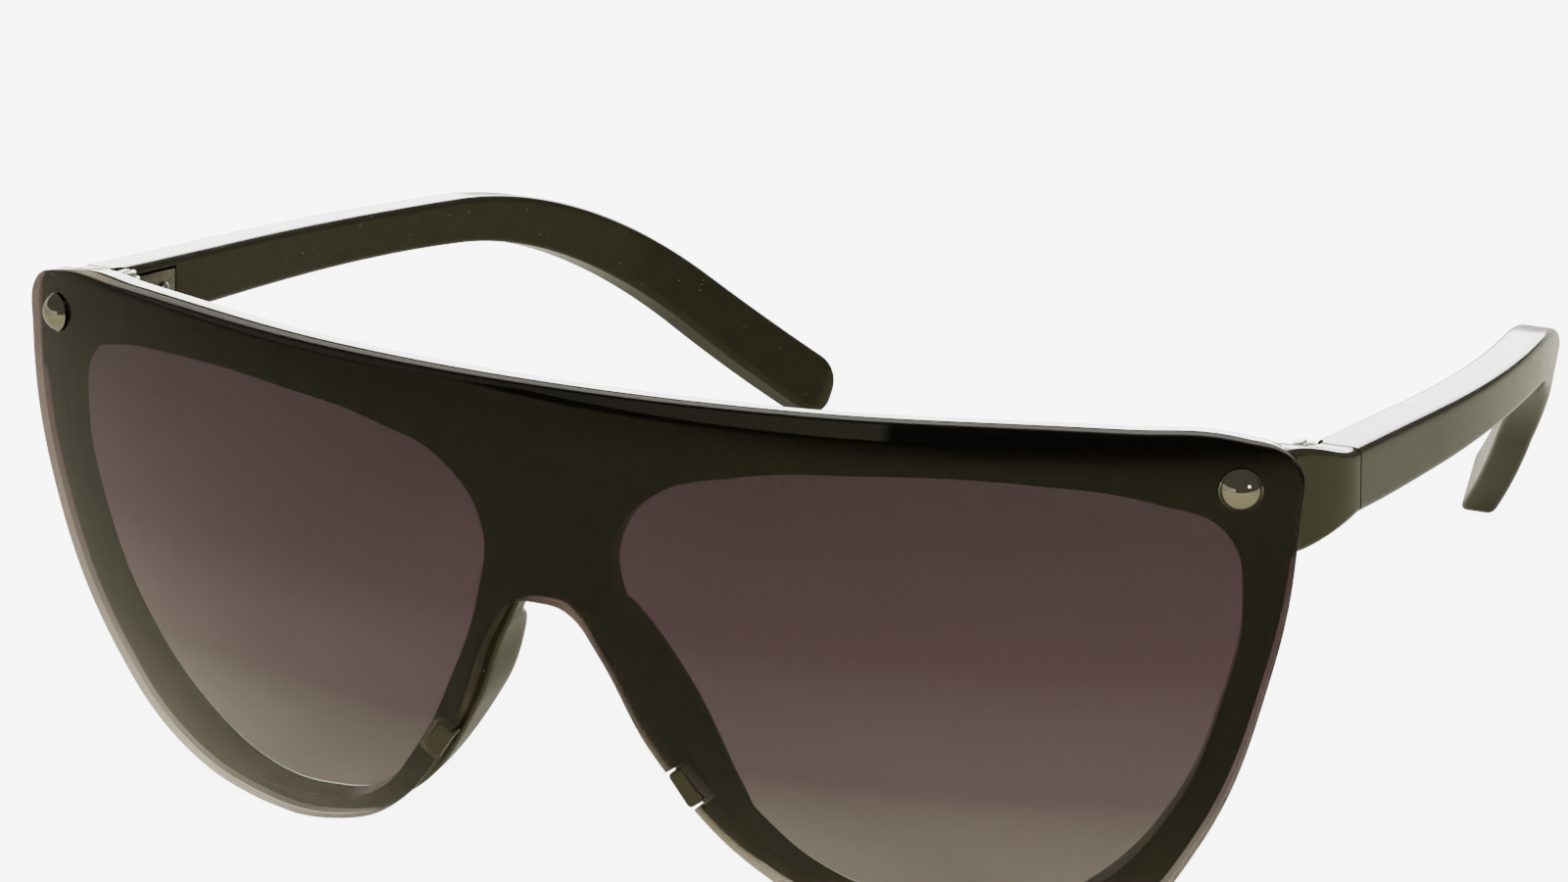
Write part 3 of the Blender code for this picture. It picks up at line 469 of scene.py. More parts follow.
def rounded_section(width, height, radius):
    """Points of rectangles with round corners, for arrays of widths and heights.

    Each corner is its centre plus radius times cosine and sine of the turn; a support point follows it
    and one goes before it along the straight sides.
    """
    width, height, radius = np.broadcast_arrays(*np.atleast_1d(width, height, radius))
    half = np.stack([width, height], -1) / 2
    parts = []
    for number, corner in enumerate(CORNERS):
        centre = corner * (half - radius[:, None])
        turn = math.pi / 2 * (number + np.linspace(0.0, 1.0, CORNER_STEPS))
        arc = np.stack([np.cos(turn), np.sin(turn)], -1)
        points = centre[:, None, :] + radius[:, None, None] * arc
        run = np.array([(-arc[0, 1], arc[0, 0]), (-arc[-1, 1], arc[-1, 0])])
        before = points[:, :1] - run[0] * SUPPORT
        after = points[:, -1:] + run[1] * SUPPORT
        parts.append(np.concatenate([before, points, after], 1))
    return np.concatenate(parts, 1)


def mesh_of_rings(name, rings):
    """A mesh of a carried section, with both ends closed by smaller rings and a point."""
    first, last = (
        ring.mean(0) + (ring - ring.mean(0)) * CAP_SHARES for ring in (rings[0], rings[-1])
    )
    return joined_grids(name, [(np.concatenate([first[::-1], rings, last]), True)])


def cut(mesh, cutters):
    """The mesh with closed cutter meshes taken out of it, by Blender's exact Boolean."""
    weld(mesh)
    item = placed("blank", mesh)
    tools = []
    for cutter in cutters:
        weld(cutter)
        tools.append(placed("cutter", cutter))
        modifier = item.modifiers.new("cut", "BOOLEAN")
        modifier.object = tools[-1]
        modifier.operation = "DIFFERENCE"
        modifier.solver = "EXACT"
    result = worked_out(item)
    for tool in tools:
        bpy.data.objects.remove(tool, do_unlink=True)
    return result


# %% [markdown]
# ## Hook tabs
# A tab is a little tongue of the frame that stands up through the lens edge beside the nose and keeps
# the lens from lifting. The notch in the lens is the same block, larger by the seat gap.

# %% Tabs and their notches
TAB_CENTRE = np.array((0.197, -0.7147)) * LENS_SIZE
TAB_LENGTH = 0.0040
TAB_WIDTH = 0.0021
TAB_SLANT = math.radians(36)
TAB_CORNER = 0.00045
TAB_TOP = 0.00015
TAB_ROUNDING = 0.0003


def tab_rings(side, grow, top, bottom, rounding):
    """Sections of the tab from its rounded top down into the rim, slanted along the edge."""
    turn = np.linspace(0.0, math.pi / 2, FILLET_STEPS)[::-1]
    depth = np.append(top + rounding * (1 - np.sin(turn)), bottom)
    shrink = np.append(rounding * (1 - np.cos(turn)), 0.0)
    width = TAB_WIDTH + 2 * grow - 2 * shrink
    height = TAB_LENGTH + 2 * grow - 2 * shrink
    across, along = np.moveaxis(rounded_section(width, height, TAB_CORNER), -1, 0)
    x = TAB_CENTRE[0] + across * math.cos(TAB_SLANT) - along * math.sin(TAB_SLANT)
    z = TAB_CENTRE[1] + across * math.sin(TAB_SLANT) + along * math.cos(TAB_SLANT)
    y = face(TAB_CENTRE) + np.broadcast_to(depth[:, None], x.shape)
    return on_model(np.stack([x * side, y, z], -1))


for side, word in SIDES:
    rings = tab_rings(side, 0.0, TAB_TOP, (RIM_FRONT + RIM_BACK) / 2, TAB_ROUNDING)
    add_piece(f"hook_tab_{word}", mesh_of_rings("hook_tab", rings), "front", "frame_front")

# %% [markdown]
# ## Studs
# A domed stud holds each upper corner of the lens. Its head is turned: a low dome over a short upright
# edge, and a shank that runs back through lens and frame. A washer and a nut close it behind the frame.
# Each profile is given as radius and height and spun about the stud's own axis, which stands square to
# the lens.

# %% Turned pieces
TURN_STEPS = 72
DOME_STEPS = 18
SHARP = math.radians(32)
PLAY = 0.00015
STUD_SPOT = np.array((0.0673, -0.0054))
STUD_RADIUS = 0.00205
STUD_HEIGHT = 0.0013
STUD_EDGE = 0.00022
STUD_SHANK = 0.0008
STUD_BASE = 0.00012
STUD_PAST_NUT = 0.0004
NUT_SEAT_DEPTH = 0.0005
WASHER_RADIUS = 0.0020
WASHER_THICKNESS = 0.0004
WASHER_BEVEL = WASHER_THICKNESS / 5
NUT_RADIUS = 0.0019
NUT_HEIGHT = 0.0011
NUT_CHAMFER = 0.00018
WASHER_HIGH = -(RIM_BACK - NUT_SEAT_DEPTH + PLAY)
NUT_HIGH = WASHER_HIGH - WASHER_THICKNESS - PLAY
STUD_END = NUT_HIGH - NUT_HEIGHT - STUD_PAST_NUT


def spun(name, profile, side, six_sided=False):
    """A mesh of the profile turned about the stud's axis: radius times cosine and sine of each step.

    With six sides no radius passes the flats of a hexagon, cosine of a twelfth of a turn over the cosine
    of the angle from the middle of the nearest flat.
    """
    centre, forwards = behind(STUD_SPOT, 0.0), -face_normal(STUD_SPOT)
    across = np.cross((0.0, 0.0, 1.0), forwards)
    across /= np.linalg.norm(across)
    upright = np.cross(forwards, across)
    turn = np.arange(TURN_STEPS) * math.tau / TURN_STEPS
    radius, height = np.array(profile, float).T[..., None]
    if six_sided:
        from_flat = (turn + math.pi / 6) % (math.pi / 3) - math.pi / 6
        radius = np.minimum(radius, NUT_RADIUS * math.cos(math.pi / 6) / np.cos(from_flat))
    spokes = np.cos(turn)[:, None] * across + np.sin(turn)[:, None] * upright
    points = centre + forwards * height[..., None] + radius[..., None] * spokes
    return joined_grids(name, [(on_model(points * (side, 1, 1)), True)])


def ring_profile(radius, high, thickness, chamfer):
    """Section of a ring, from its bore round the chamfered outer side and back."""
    inner, low = STUD_SHANK + PLAY, high - thickness
    upper = [(inner, high), (radius - chamfer, high), (radius, high - chamfer)]
    return upper + [(radius, low + chamfer), (radius - chamfer, low), (inner, low), (inner, high)]


DOME_RADIUS = (STUD_RADIUS**2 + STUD_HEIGHT**2) / (2 * STUD_HEIGHT)
turn = np.linspace(0.0, math.asin((STUD_RADIUS - STUD_EDGE / 2) / DOME_RADIUS), DOME_STEPS)
crown = STUD_BASE + STUD_HEIGHT - DOME_RADIUS * (1 - np.cos(turn))
STUD_PROFILE = [*zip(DOME_RADIUS * np.sin(turn), crown), (STUD_RADIUS, crown[-1] - STUD_EDGE / 2)]
STUD_PROFILE += [(STUD_RADIUS, STUD_BASE + STUD_EDGE / 3), (STUD_RADIUS - STUD_EDGE / 3, STUD_BASE)]
STUD_PROFILE += [(STUD_SHANK, STUD_BASE), (STUD_SHANK, STUD_END), (0.0, STUD_END)]
WASHER_PROFILE = ring_profile(WASHER_RADIUS, WASHER_HIGH, WASHER_THICKNESS, WASHER_BEVEL)
NUT_PROFILE = ring_profile(NUT_RADIUS, NUT_HIGH, NUT_HEIGHT, NUT_CHAMFER)
TURNED = (("stud", "lens_stud", STUD_PROFILE), ("washer", "stud_washer", WASHER_PROFILE))
TURNED += (("nut", "stud_nut", NUT_PROFILE),)
for side, word in SIDES:
    for kind, node, profile in TURNED:
        mesh = spun(kind, profile, side, kind == "nut")
        add_piece(f"{kind}_{word}", mesh, "front", f"{node}_{word}", SHARP)

# %% [markdown]
# The notches and bores are cut from the lens. Its edge faces are matt, and painted light tan as a glow for
# the light the clear edge catches, so they are marked for the finish: 1 where a face stands square to the
# lens face, 0 where it lies along it, and between by the cosine of the angle. The lean of the front is
# left out, as it is under a degree.

# %% The lens with its notches and bores
BORE = STUD_SHANK + SEAT_GAP
BORE_PROFILE = [(0.0, LENS_THICKNESS), (BORE, LENS_THICKNESS), (BORE, -RIM_FRONT), (0.0, -RIM_FRONT)]
LENS_SHARP = math.radians(50)
EDGE_GLOW_FROM = 0.9
EDGE_GLOW_BLEND = 0.5
lens_tools = []
for side, _ in SIDES:
    notch = tab_rings(side, SEAT_GAP, -LENS_THICKNESS, LENS_THICKNESS * 2, 0.0)
    lens_tools += [mesh_of_rings("notch", notch), spun("bore", BORE_PROFILE, side)]
lens = add_piece("tinted_lens", cut(lens_mesh, lens_tools), "front", "shield_lens", LENS_SHARP)
faces = lens.data.polygons
spots = (triples(faces, "center") - FRONT_PLACE)[:, [0, 2]]
cosine = np.abs((triples(faces, "normal") * face_normal(spots)).sum(-1))
# Painted edge glow: each face's share of a light tan painted on the lens edge for the light the clear edge
# catches, which also makes it matt.
edge_glow_share = np.clip((EDGE_GLOW_FROM - cosine) / EDGE_GLOW_BLEND, 0.0, 1.0)
ground = lens.data.attributes.new("ground_edge", "FLOAT", "FACE")
ground.data.foreach_set("value", edge_glow_share)
print("ground share of all faces:", round(float(edge_glow_share.mean()), 3))

# %% [markdown]
# ## End pieces and temples
# An end piece wraps back from the frame's corner and narrows to the hinge. The temple carries on in the
# same line: straight, then bent down behind the ear on a large arc, and bent in towards the head. Height
# and thickness change slowly along it. Its path is worked out for all sections at once.

# %% End piece sections
LUG_TOP, LUG_BOTTOM = 0.0026, 0.0129
LUG_OUTER = 0.0712
LUG_THICKNESS = 0.0051
LUG_START = 0.0200
LUG_ROOT_RELIEF = 0.0018
LUG_RELIEF_LENGTH = 0.0035
LUG_RINGS = 60
SEAT_EASE_SHARE = 0.3
EDGE_RADIUS = 0.0008
TEMPLE_OUTER = 0.0739
TEMPLE_HINGE_HEIGHT = 0.0066
SPLIT_GAP = 0.00015
OVERRUN = 0.004


def smooth(share):
    """A step from 0 to 1 that starts and ends level: three times the square less twice the cube."""
    share = np.clip(share, 0.0, 1.0)
    return share * share * (3.0 - 2.0 * share)


def end_piece_rings(side):
    """Sections from just behind the lens back past the hinge, taller and thinner at the root.

    The rings near the root are pushed back wherever the curve of the lens would otherwise cross them.
    """
    y = np.linspace(0.0, 1.0, LUG_RINGS) * (HINGE_SETBACK + OVERRUN / 4 - LUG_START) + LUG_START
    y = np.insert(y, 0, LUG_START)
    run = (y - LUG_START) / (HINGE_SETBACK - LUG_START)
    top = LUG_TOP + (HINGE_DROP - TEMPLE_HINGE_HEIGHT / 2 - LUG_TOP) * smooth(run)
    bottom = LUG_BOTTOM + (HINGE_DROP + TEMPLE_HINGE_HEIGHT / 2 - LUG_BOTTOM) * smooth(run)
    flare = np.sin(np.clip(run, 0.0, 1.0) * math.pi / 2)
    outer_side = LUG_OUTER + (TEMPLE_OUTER - LUG_OUTER) * flare
    thickness = LUG_THICKNESS - LUG_ROOT_RELIEF * (1 - smooth((y - LUG_START) / LUG_RELIEF_LENGTH))
    section = rounded_section(thickness, bottom - top, EDGE_RADIUS)
    x = section[..., 0] + (outer_side - thickness / 2)[:, None]
    z = section[..., 1] - ((top + bottom) / 2)[:, None]
    y = np.broadcast_to(y[:, None], x.shape).copy()
    seat = behind(np.stack([x[0], z[0]], -1), RIM_FRONT + SPLIT_GAP)[:, 1]
    y[0] = seat
    y[1:] = np.maximum(y[1:], seat + (y[1:] - LUG_START) * SEAT_EASE_SHARE)
    return on_model(np.stack([x * side, y, z], -1))


# %% Temple path
TEMPLE_THICKNESS = 0.0051
WAIST_HEIGHT, TIP_HEIGHT = 0.0054, 0.0080
TIP_THICKNESS = 0.0044
STRAIGHT, WAIST = 0.065, 0.055
BEND_RADIUS = 0.069
SLOPE, TIP_SLOPE = math.radians(8.8), math.radians(45.6)
TIP_ROUNDING = 0.0040
TIP_EDGE_SHARE = 0.3
LARGEST_ROUND_SHARE = 0.49
INWARD_START, INWARD_RADIUS = 0.023, 0.243
SQUARE_END = 0.015
LEAF_FACE = 0.0006
BEND_LENGTH = BEND_RADIUS * (TIP_SLOPE - SLOPE)
TEMPLE_RINGS = 230
TIP_RINGS = 14


def temple_line(distance):
    """Back, up and slope of the temple's top edge along it: straight, an arc, then straight again."""
    straight = np.minimum(distance, STRAIGHT)
    slope = SLOPE + np.clip(distance - STRAIGHT, 0.0, BEND_LENGTH) / BEND_RADIUS
    beyond = np.maximum(distance - STRAIGHT - BEND_LENGTH, 0.0)
    back = straight * math.cos(SLOPE) + BEND_RADIUS * (np.sin(slope) - math.sin(SLOPE))
    back = back + beyond * math.cos(TIP_SLOPE)
    up = TEMPLE_HINGE_HEIGHT / 2 - straight * math.sin(SLOPE)
    up = up - BEND_RADIUS * (math.cos(SLOPE) - np.cos(slope)) - beyond * math.sin(TIP_SLOPE)
    return back, up, slope


bend_up = float(temple_line(STRAIGHT + BEND_LENGTH)[1])
tip_reach = math.hypot(TIP_HEIGHT / 2 * math.cos(TIP_SLOPE), TIP_ROUNDING * math.sin(TIP_SLOPE))
tip_fall = HINGE[2] + bend_up - TIP_HEIGHT / 2 * math.cos(TIP_SLOPE) - tip_reach
BODY_LENGTH = STRAIGHT + BEND_LENGTH + tip_fall / math.sin(TIP_SLOPE)
print("a temple is", round((BODY_LENGTH + TIP_ROUNDING) * 1000, 1), "mm long")


def temple_rings(side):
    """Sections along the temple, square to its run, with the last ones drawn in to a round tip."""
    distance = np.linspace(SPLIT_GAP, BODY_LENGTH, TEMPLE_RINGS)
    turn = np.linspace(0.0, math.pi / 2, TIP_RINGS + 1)[1:-1]
    beyond = np.concatenate([np.zeros(TEMPLE_RINGS), TIP_ROUNDING * np.sin(turn)])
    shrink = np.concatenate([np.ones(TEMPLE_RINGS), np.cos(turn)])
    distance = np.concatenate([distance, np.full(len(turn), BODY_LENGTH)])
    back, up, slope = temple_line(distance)
    tilt = slope * smooth(distance / SQUARE_END)
    to_waist = TEMPLE_HINGE_HEIGHT + (WAIST_HEIGHT - TEMPLE_HINGE_HEIGHT) * smooth(distance / WAIST)
    to_tip = (TIP_HEIGHT - WAIST_HEIGHT) * smooth((distance - WAIST) / (BODY_LENGTH - WAIST))
    height = np.where(distance < WAIST, to_waist, WAIST_HEIGHT + to_tip)
    thickness = TEMPLE_THICKNESS + (TIP_THICKNESS - TEMPLE_THICKNESS) * smooth(distance / BODY_LENGTH)
    inwards = sag(np.maximum(distance + beyond - INWARD_START, 0.0), INWARD_RADIUS)
    width = thickness * (TIP_EDGE_SHARE + (1 - TIP_EDGE_SHARE) * shrink)
    size = height * shrink
    radius = np.minimum(EDGE_RADIUS, np.minimum(width, size) * LARGEST_ROUND_SHARE)
    section = rounded_section(width, size, radius)
    x = (LEAF_FACE + TEMPLE_THICKNESS - inwards - thickness / 2)[:, None] + section[..., 0]
    lift = section[..., 1] - (height / 2)[:, None]
    y = (back + beyond * np.cos(slope))[:, None] + lift * np.sin(tilt)[:, None]
    z = (up - beyond * np.sin(slope))[:, None] + lift * np.cos(tilt)[:, None]
    return (np.stack([x, y, z], -1) + HINGE) * (side, 1, 1)


# %% [markdown]
# The hinge leaves lie in shallow recesses of the plastic, and a round clearance takes the barrels. Both
# are cut out with plain cutters in the hinge's own place, as a moulding tool would form them.

# %% Recesses for the hinge leaves
BARREL_RADIUS = 0.0015
ROD_STEPS = 48
LEAF_THICKNESS = 0.0009
RECESS_FLOOR = LEAF_FACE + LEAF_THICKNESS + SEAT_GAP
STACK_HALF = 0.0023
FRONT_LEAF_LENGTH = 0.0056
TEMPLE_LEAF_LENGTH = 0.0095
TEMPLE_LEAF_HALF = 0.0020


def hinge_cutter(side, outline, half_height, slope=0.0):
    """An upright block over an outline about the hinge, turned down by a slope, as a closed mesh."""
    levels = (-half_height, half_height)
    rings = np.array([np.column_stack([outline, np.full(len(outline), level)]) for level in levels])
    x, y, z = np.moveaxis(rings, -1, 0)
    sine, cosine = math.sin(slope), math.cos(slope)
    rings = np.stack([x, y * cosine + z * sine, z * cosine - y * sine], -1)
    return mesh_of_rings("cutter", (rings + HINGE) * (side, 1, 1))


def box(low, high):
    """Outline of a box between two corners."""
    return low + (CORNERS + 1) / 2 * np.subtract(high, low)


turn = np.arange(ROD_STEPS) * math.tau / ROD_STEPS
BARREL_ROOM = (BARREL_RADIUS + SEAT_GAP) * np.stack([np.cos(turn), np.sin(turn)], -1)
CUTTER_REACH = LENS_HALF_WIDTH
BEHIND_SPLIT = box((-CUTTER_REACH, -SPLIT_GAP), (CUTTER_REACH, CUTTER_REACH))
FRONT_RECESS = box((-OVERRUN, -FRONT_LEAF_LENGTH - SEAT_GAP), (RECESS_FLOOR, OVERRUN))
TEMPLE_RECESS = box((-OVERRUN, -OVERRUN), (RECESS_FLOOR, TEMPLE_LEAF_LENGTH + SEAT_GAP))
END_PIECE_CUTS = ((BEHIND_SPLIT, CUTTER_REACH), (FRONT_RECESS, STACK_HALF + SEAT_GAP))
END_PIECE_CUTS += ((BARREL_ROOM, CUTTER_REACH),)
TEMPLE_CUTS = ((TEMPLE_RECESS, TEMPLE_LEAF_HALF + SEAT_GAP, SLOPE), (BARREL_ROOM, TEMPLE_HINGE_HEIGHT))
for side, word in SIDES:
    tools = [hinge_cutter(side, *shape) for shape in END_PIECE_CUTS]
    end_piece = cut(mesh_of_rings("end_piece", end_piece_rings(side)), tools)
    add_piece(f"end_piece_{word}", end_piece, "front", "frame_front", SHARP)
    tools = [hinge_cutter(side, *shape) for shape in TEMPLE_CUTS]
    temple = cut(mesh_of_rings("temple", temple_rings(side)), tools)
    add_piece(f"temple_bar_{word}", temple, f"{word}_temple", f"temple_{word}", SHARP)

# %% [markdown]
# ## Hinge leaves and screws
# The leaves and screws keep the shapes of the construction model, and only their edges are broken. Each
# is a copy of its node, welded, its flat faces made whole again, and rounded by a narrow bevel.

# %% Small metal parts
LEAF_BEVEL, SCREW_BEVEL = 0.00008, 0.00004
BEVELS = {"front_hinge_leaf": LEAF_BEVEL, "temple_hinge_leaf": LEAF_BEVEL, "hinge_screw": LEAF_BEVEL}
for screw in ("front_leaf_upper", "front_leaf_lower", "temple_leaf_near", "temple_leaf_far"):
    BEVELS[f"{screw}_screw"] = SCREW_BEVEL
FLAT_WITHIN = math.radians(3)
BEVEL_FROM = math.radians(40)


def broken_edges(node, width):
    """A welded copy of a node whose edges are rounded by a bevel of the given width."""
    mesh = frame["nodes"][node].data.copy()
    mesh.materials.clear()
    edit = bmesh.new()
    edit.from_mesh(mesh)
    bmesh.ops.remove_doubles(edit, verts=edit.verts, dist=WELD)
    bmesh.ops.dissolve_limit(edit, angle_limit=FLAT_WITHIN, verts=edit.verts, edges=edit.edges)
    edit.to_mesh(mesh)
    edit.free()
    item = placed("blank", mesh)
    modifier = item.modifiers.new("bevel", "BEVEL")
    modifier.width = width
    modifier.segments = 2
    modifier.limit_method = "ANGLE"
    modifier.angle_limit = BEVEL_FROM
    return worked_out(item)


for kind, width in BEVELS.items():
    for _, word in SIDES:
        node = f"{kind}_{word}"
        body = f"{word}_temple" if kind.startswith("temple") else "front"
        add_piece(f"{node}_finished", broken_edges(node, width), body, node, SHARP)

# %% [markdown]
# ## Finishes
# A finish is a colour and a gloss that change a little all over the surface. Three effects are shared by
# several finishes, so each is a node group: the slow waves that moulding leaves under the gloss, the
# hairlines and dust of handling, and the fine lines of rolled or turned metal. All of them read the
# piece's own coordinates in metres.

# %% Node helpers
def feed(tree, node, inputs):
    """Gives inputs of a node, by name or number, a plain value each or a link from an output."""
    for key, value in inputs.items():
        socket = node.inputs[key.replace("_", " ") if isinstance(key, str) else key]
        if isinstance(value, bpy.types.NodeSocket):
            tree.links.new(value, socket)
        else:
            socket.default_value = value


def put(tree, kind, settings=None, **inputs):
    """Adds a node of a kind, with its settings and what feeds its named inputs."""
    node = tree.nodes.new("ShaderNode" + kind)
    for key, value in (settings or {}).items():
        setattr(node, key, value)
    feed(tree, node, inputs)
    return node


def effect_group(name, inputs, outputs):
    """A node group with named number sockets, and its input and output nodes."""
    group = bpy.data.node_groups.new(name, "ShaderNodeTree")
    for label, value in inputs.items():
        socket = group.interface.new_socket(label, in_out="INPUT", socket_type="NodeSocketFloat")
        socket.default_value = value
    for label in outputs:
        group.interface.new_socket(label, in_out="OUTPUT", socket_type="NodeSocketFloat")
    return group, group.nodes.new("NodeGroupInput"), group.nodes.new("NodeGroupOutput")


def stretched(group, scale=(1.0, 1.0, 1.0), turn=(0.0, 0.0, 0.0)):
    """Object coordinates, turned and stretched, for patterns that run in one direction."""
    place = put(group, "TexCoord").outputs["Object"]
    return put(group, "Mapping", Vector=place, Rotation=turn, Scale=scale).outputs["Vector"]


def noise(group, place, **inputs):
    """A soft random pattern at a place."""
    return put(group, "TexNoise", Vector=place, **inputs).outputs["Fac"]


def span(tree, source, low, high, **ends):
    """A number that runs from 0 to 1, or between other ends, as the source goes from low to high."""
    return put(tree, "MapRange", Value=source, From_Min=low, From_Max=high, **ends).outputs["Result"]


def banded(tree, source, low, high):
    """A mask that is 1 where the source is below low, 0 above high and smooth between."""
    smooth_step = {"interpolation_type": "SMOOTHSTEP"}
    return put(tree, "MapRange", smooth_step, Value=source, From_Min=high, From_Max=low).outputs["Result"]


def reckoned(tree, operation, *numbers):
    """The result of a sum on numbers, each plain or an output."""
    node = put(tree, "Math", {"operation": operation})
    feed(tree, node, dict(enumerate(numbers)))
    return node.outputs[0]


# %% [markdown]
# The moulding group gives two numbers. Height is a slow wave about a centimetre long, which makes
# reflections swim a little, as they do on a real moulding. Tone is a finer cloud for colour and gloss.

# %% Moulding waves
moulding, enter, leave = effect_group("moulding_waves", {"Wave Scale": 90.0}, ("Height", "Tone"))
place = stretched(moulding, (1.0, 0.5, 1.0))
wave = noise(moulding, place, Scale=enter.outputs["Wave Scale"], Detail=1.0, Roughness=0.4)
cloud = noise(moulding, place, Scale=420.0, Detail=4.0, Roughness=0.6)
feed(moulding, leave, {"Height": wave, "Tone": cloud})
print("moulding waves:", len(moulding.nodes), "nodes")

# %% [markdown]
# Handling leaves hairlines and dust. A hairline is the border between the cells of a Voronoi pattern,
# stretched until the cells are long slivers, and a noise breaks it into short strokes. Dust is the middle
# of small cells, kept only in the few cells whose own random number is next to nothing.

# %% Hairlines and dust
HAIRLINE_STRETCH = ((2100.0, 90.0, 260.0), (150.0, 1700.0, 210.0))
HAIRLINE_TURNS = ((0.2, 0.1, 0.5), (0.1, 0.7, -0.3))
HAIRLINE_WIDTH = (0.004, 0.016)
HAIRLINE_BREAKS = (0.36, 0.42)
SPECK_RADIUS = (0.06, 0.17)
SPECK_CHANCE = (0.05, 0.07)
marks, enter, leave = effect_group(
    "handling_marks", {"Hairlines": 1.0, "Dust": 1.0, "Dust Scale": 1500.0}, ("Hairlines", "Dust")
)
strokes = []
for scale, turn in zip(HAIRLINE_STRETCH, HAIRLINE_TURNS):
    cells = {"Vector": stretched(marks, scale, turn), "Scale": 1.0}
    slivers = put(marks, "TexVoronoi", {"feature": "DISTANCE_TO_EDGE"}, **cells)
    breaks = noise(marks, stretched(marks, turn=turn), Scale=230.0, Detail=2.0)
    line = banded(marks, slivers.outputs["Distance"], *HAIRLINE_WIDTH)
    strokes.append(reckoned(marks, "MULTIPLY", line, banded(marks, breaks, *HAIRLINE_BREAKS)))
hairlines = reckoned(marks, "MAXIMUM", *strokes)
cells = {"Vector": stretched(marks), "Scale": enter.outputs["Dust Scale"]}
specks = put(marks, "TexVoronoi", {"feature": "F1"}, **cells)
lot = put(marks, "SeparateColor", Color=specks.outputs["Color"]).outputs["Red"]
speck = banded(marks, specks.outputs["Distance"], *SPECK_RADIUS)
dust = reckoned(marks, "MULTIPLY", speck, banded(marks, lot, *SPECK_CHANCE))
for label, mark in (("Hairlines", hairlines), ("Dust", dust)):
    feed(marks, leave, {label: reckoned(marks, "MULTIPLY", mark, enter.outputs[label])})
print("handling marks:", len(marks.nodes), "nodes")

# %% [markdown]
# Rolled or turned metal carries fine parallel lines. A noise stretched along the lines gives them, and a
# plain one gives the stains, one for the gloss and one for the colour.

# %% Metal lines
LINE_STRETCH = (9000.0, 320.0, 9000.0)
lines, enter, leave = effect_group("metal_lines", {"Fineness": 1.0}, ("Lines", "Stain"))
fine = noise(lines, stretched(lines, LINE_STRETCH), Scale=enter.outputs["Fineness"], Detail=3.0)
stain = noise(lines, stretched(lines), Scale=700.0, Detail=3.0)
feed(lines, leave, {"Lines": fine, "Stain": stain})
print("metal lines:", len(lines.nodes), "nodes")

# %% [markdown]
# A material then picks its effects and says what each one changes. A ramp between two colours or two
# numbers turns an effect into colour or gloss, and dust lies on top.

# %% Material helpers
DUST_COLOUR = (0.34, 0.32, 0.27, 1.0)
NOISE_LOW, NOISE_HIGH = 0.3, 0.7


def new_material(name, **values):
    """A material with its shader, whose plain values are set on the shader's own sockets."""
    material = bpy.data.materials.new(name)
    material.use_nodes = True
    tree = material.node_tree
    shader = tree.nodes["Principled BSDF"]
    feed(tree, shader, values)
    return material, tree, shader


def use_group(tree, group, **values):
    """The outputs of a group placed in a material with its own values."""
    node = tree.nodes.new("ShaderNodeGroup")
    node.node_tree = group
    feed(tree, node, values)
    return node.outputs


def between(tree, effect, low, high):
    """Numbers from low to high over the usual span of a noise."""
    return span(tree, effect, NOISE_LOW, NOISE_HIGH, To_Min=low, To_Max=high)


def plus(tree, base, effect, amount):
    """A number raised by an effect times an amount."""
    return reckoned(tree, "MULTIPLY_ADD", effect, amount, base)


def blended(tree, effect, first, second):
    """A colour that goes from the first to the second with an effect; each is a colour or an output."""
    mix = put(tree, "Mix", {"data_type": "RGBA"})
    feed(tree, mix, {0: effect, 6: first, 7: second})
    return mix.outputs[2]


def raised(tree, shader, height, strength, distance):
    """A bump from a height, feeding the shader's normal."""
    bump = put(tree, "Bump", Strength=strength, Distance=distance, Height=height)
    feed(tree, shader, {"Normal": bump.outputs["Normal"]})


# %% [markdown]
# ## Olive-black plastic
# The front and the temples are injection moulded in one dark plastic, black with an olive cast, and
# polished in the tumbler. Its colour hardly changes; what the eye reads is the gloss. The front keeps a
# higher polish, and the temples, which are held and folded every day, carry more hairlines.

# %% Frame and temple plastic
OLIVE_DARK, OLIVE_LIGHT = (0.014, 0.014, 0.0075, 1.0), (0.024, 0.023, 0.013, 1.0)
OLIVE_SHEEN = (1.0, 0.96, 0.62, 1.0)


def olive_plastic(name, ior, gloss, hairlines, wave_scale):
    """Dark plastic whose roughness runs between two values of gloss, with waves and handling marks."""
    material, tree, shader = new_material(name, IOR=ior, Specular_Tint=OLIVE_SHEEN)
    waves = use_group(tree, moulding, Wave_Scale=wave_scale)
    worn = use_group(tree, marks, Hairlines=hairlines, Dust=0.5)
    olive = blended(tree, waves["Tone"], OLIVE_DARK, OLIVE_LIGHT)
    rough = plus(tree, between(tree, waves["Tone"], *gloss), worn["Hairlines"], 0.22)
    rough = plus(tree, rough, worn["Dust"], 0.5)
    colour = blended(tree, worn["Dust"], olive, DUST_COLOUR)
    feed(tree, shader, {"Base Color": colour, "Roughness": rough})
    raised(tree, shader, plus(tree, waves["Height"], worn["Hairlines"], -0.02), 0.35, 0.00012)
    return material


frame_plastic = olive_plastic("polished_front_plastic", 1.34, (0.07, 0.12), 0.5, 90.0)
temple_plastic = olive_plastic("polished_temple_plastic", 1.24, (0.10, 0.17), 1.0, 70.0)
print("plastics:", frame_plastic.name, "and", temple_plastic.name)
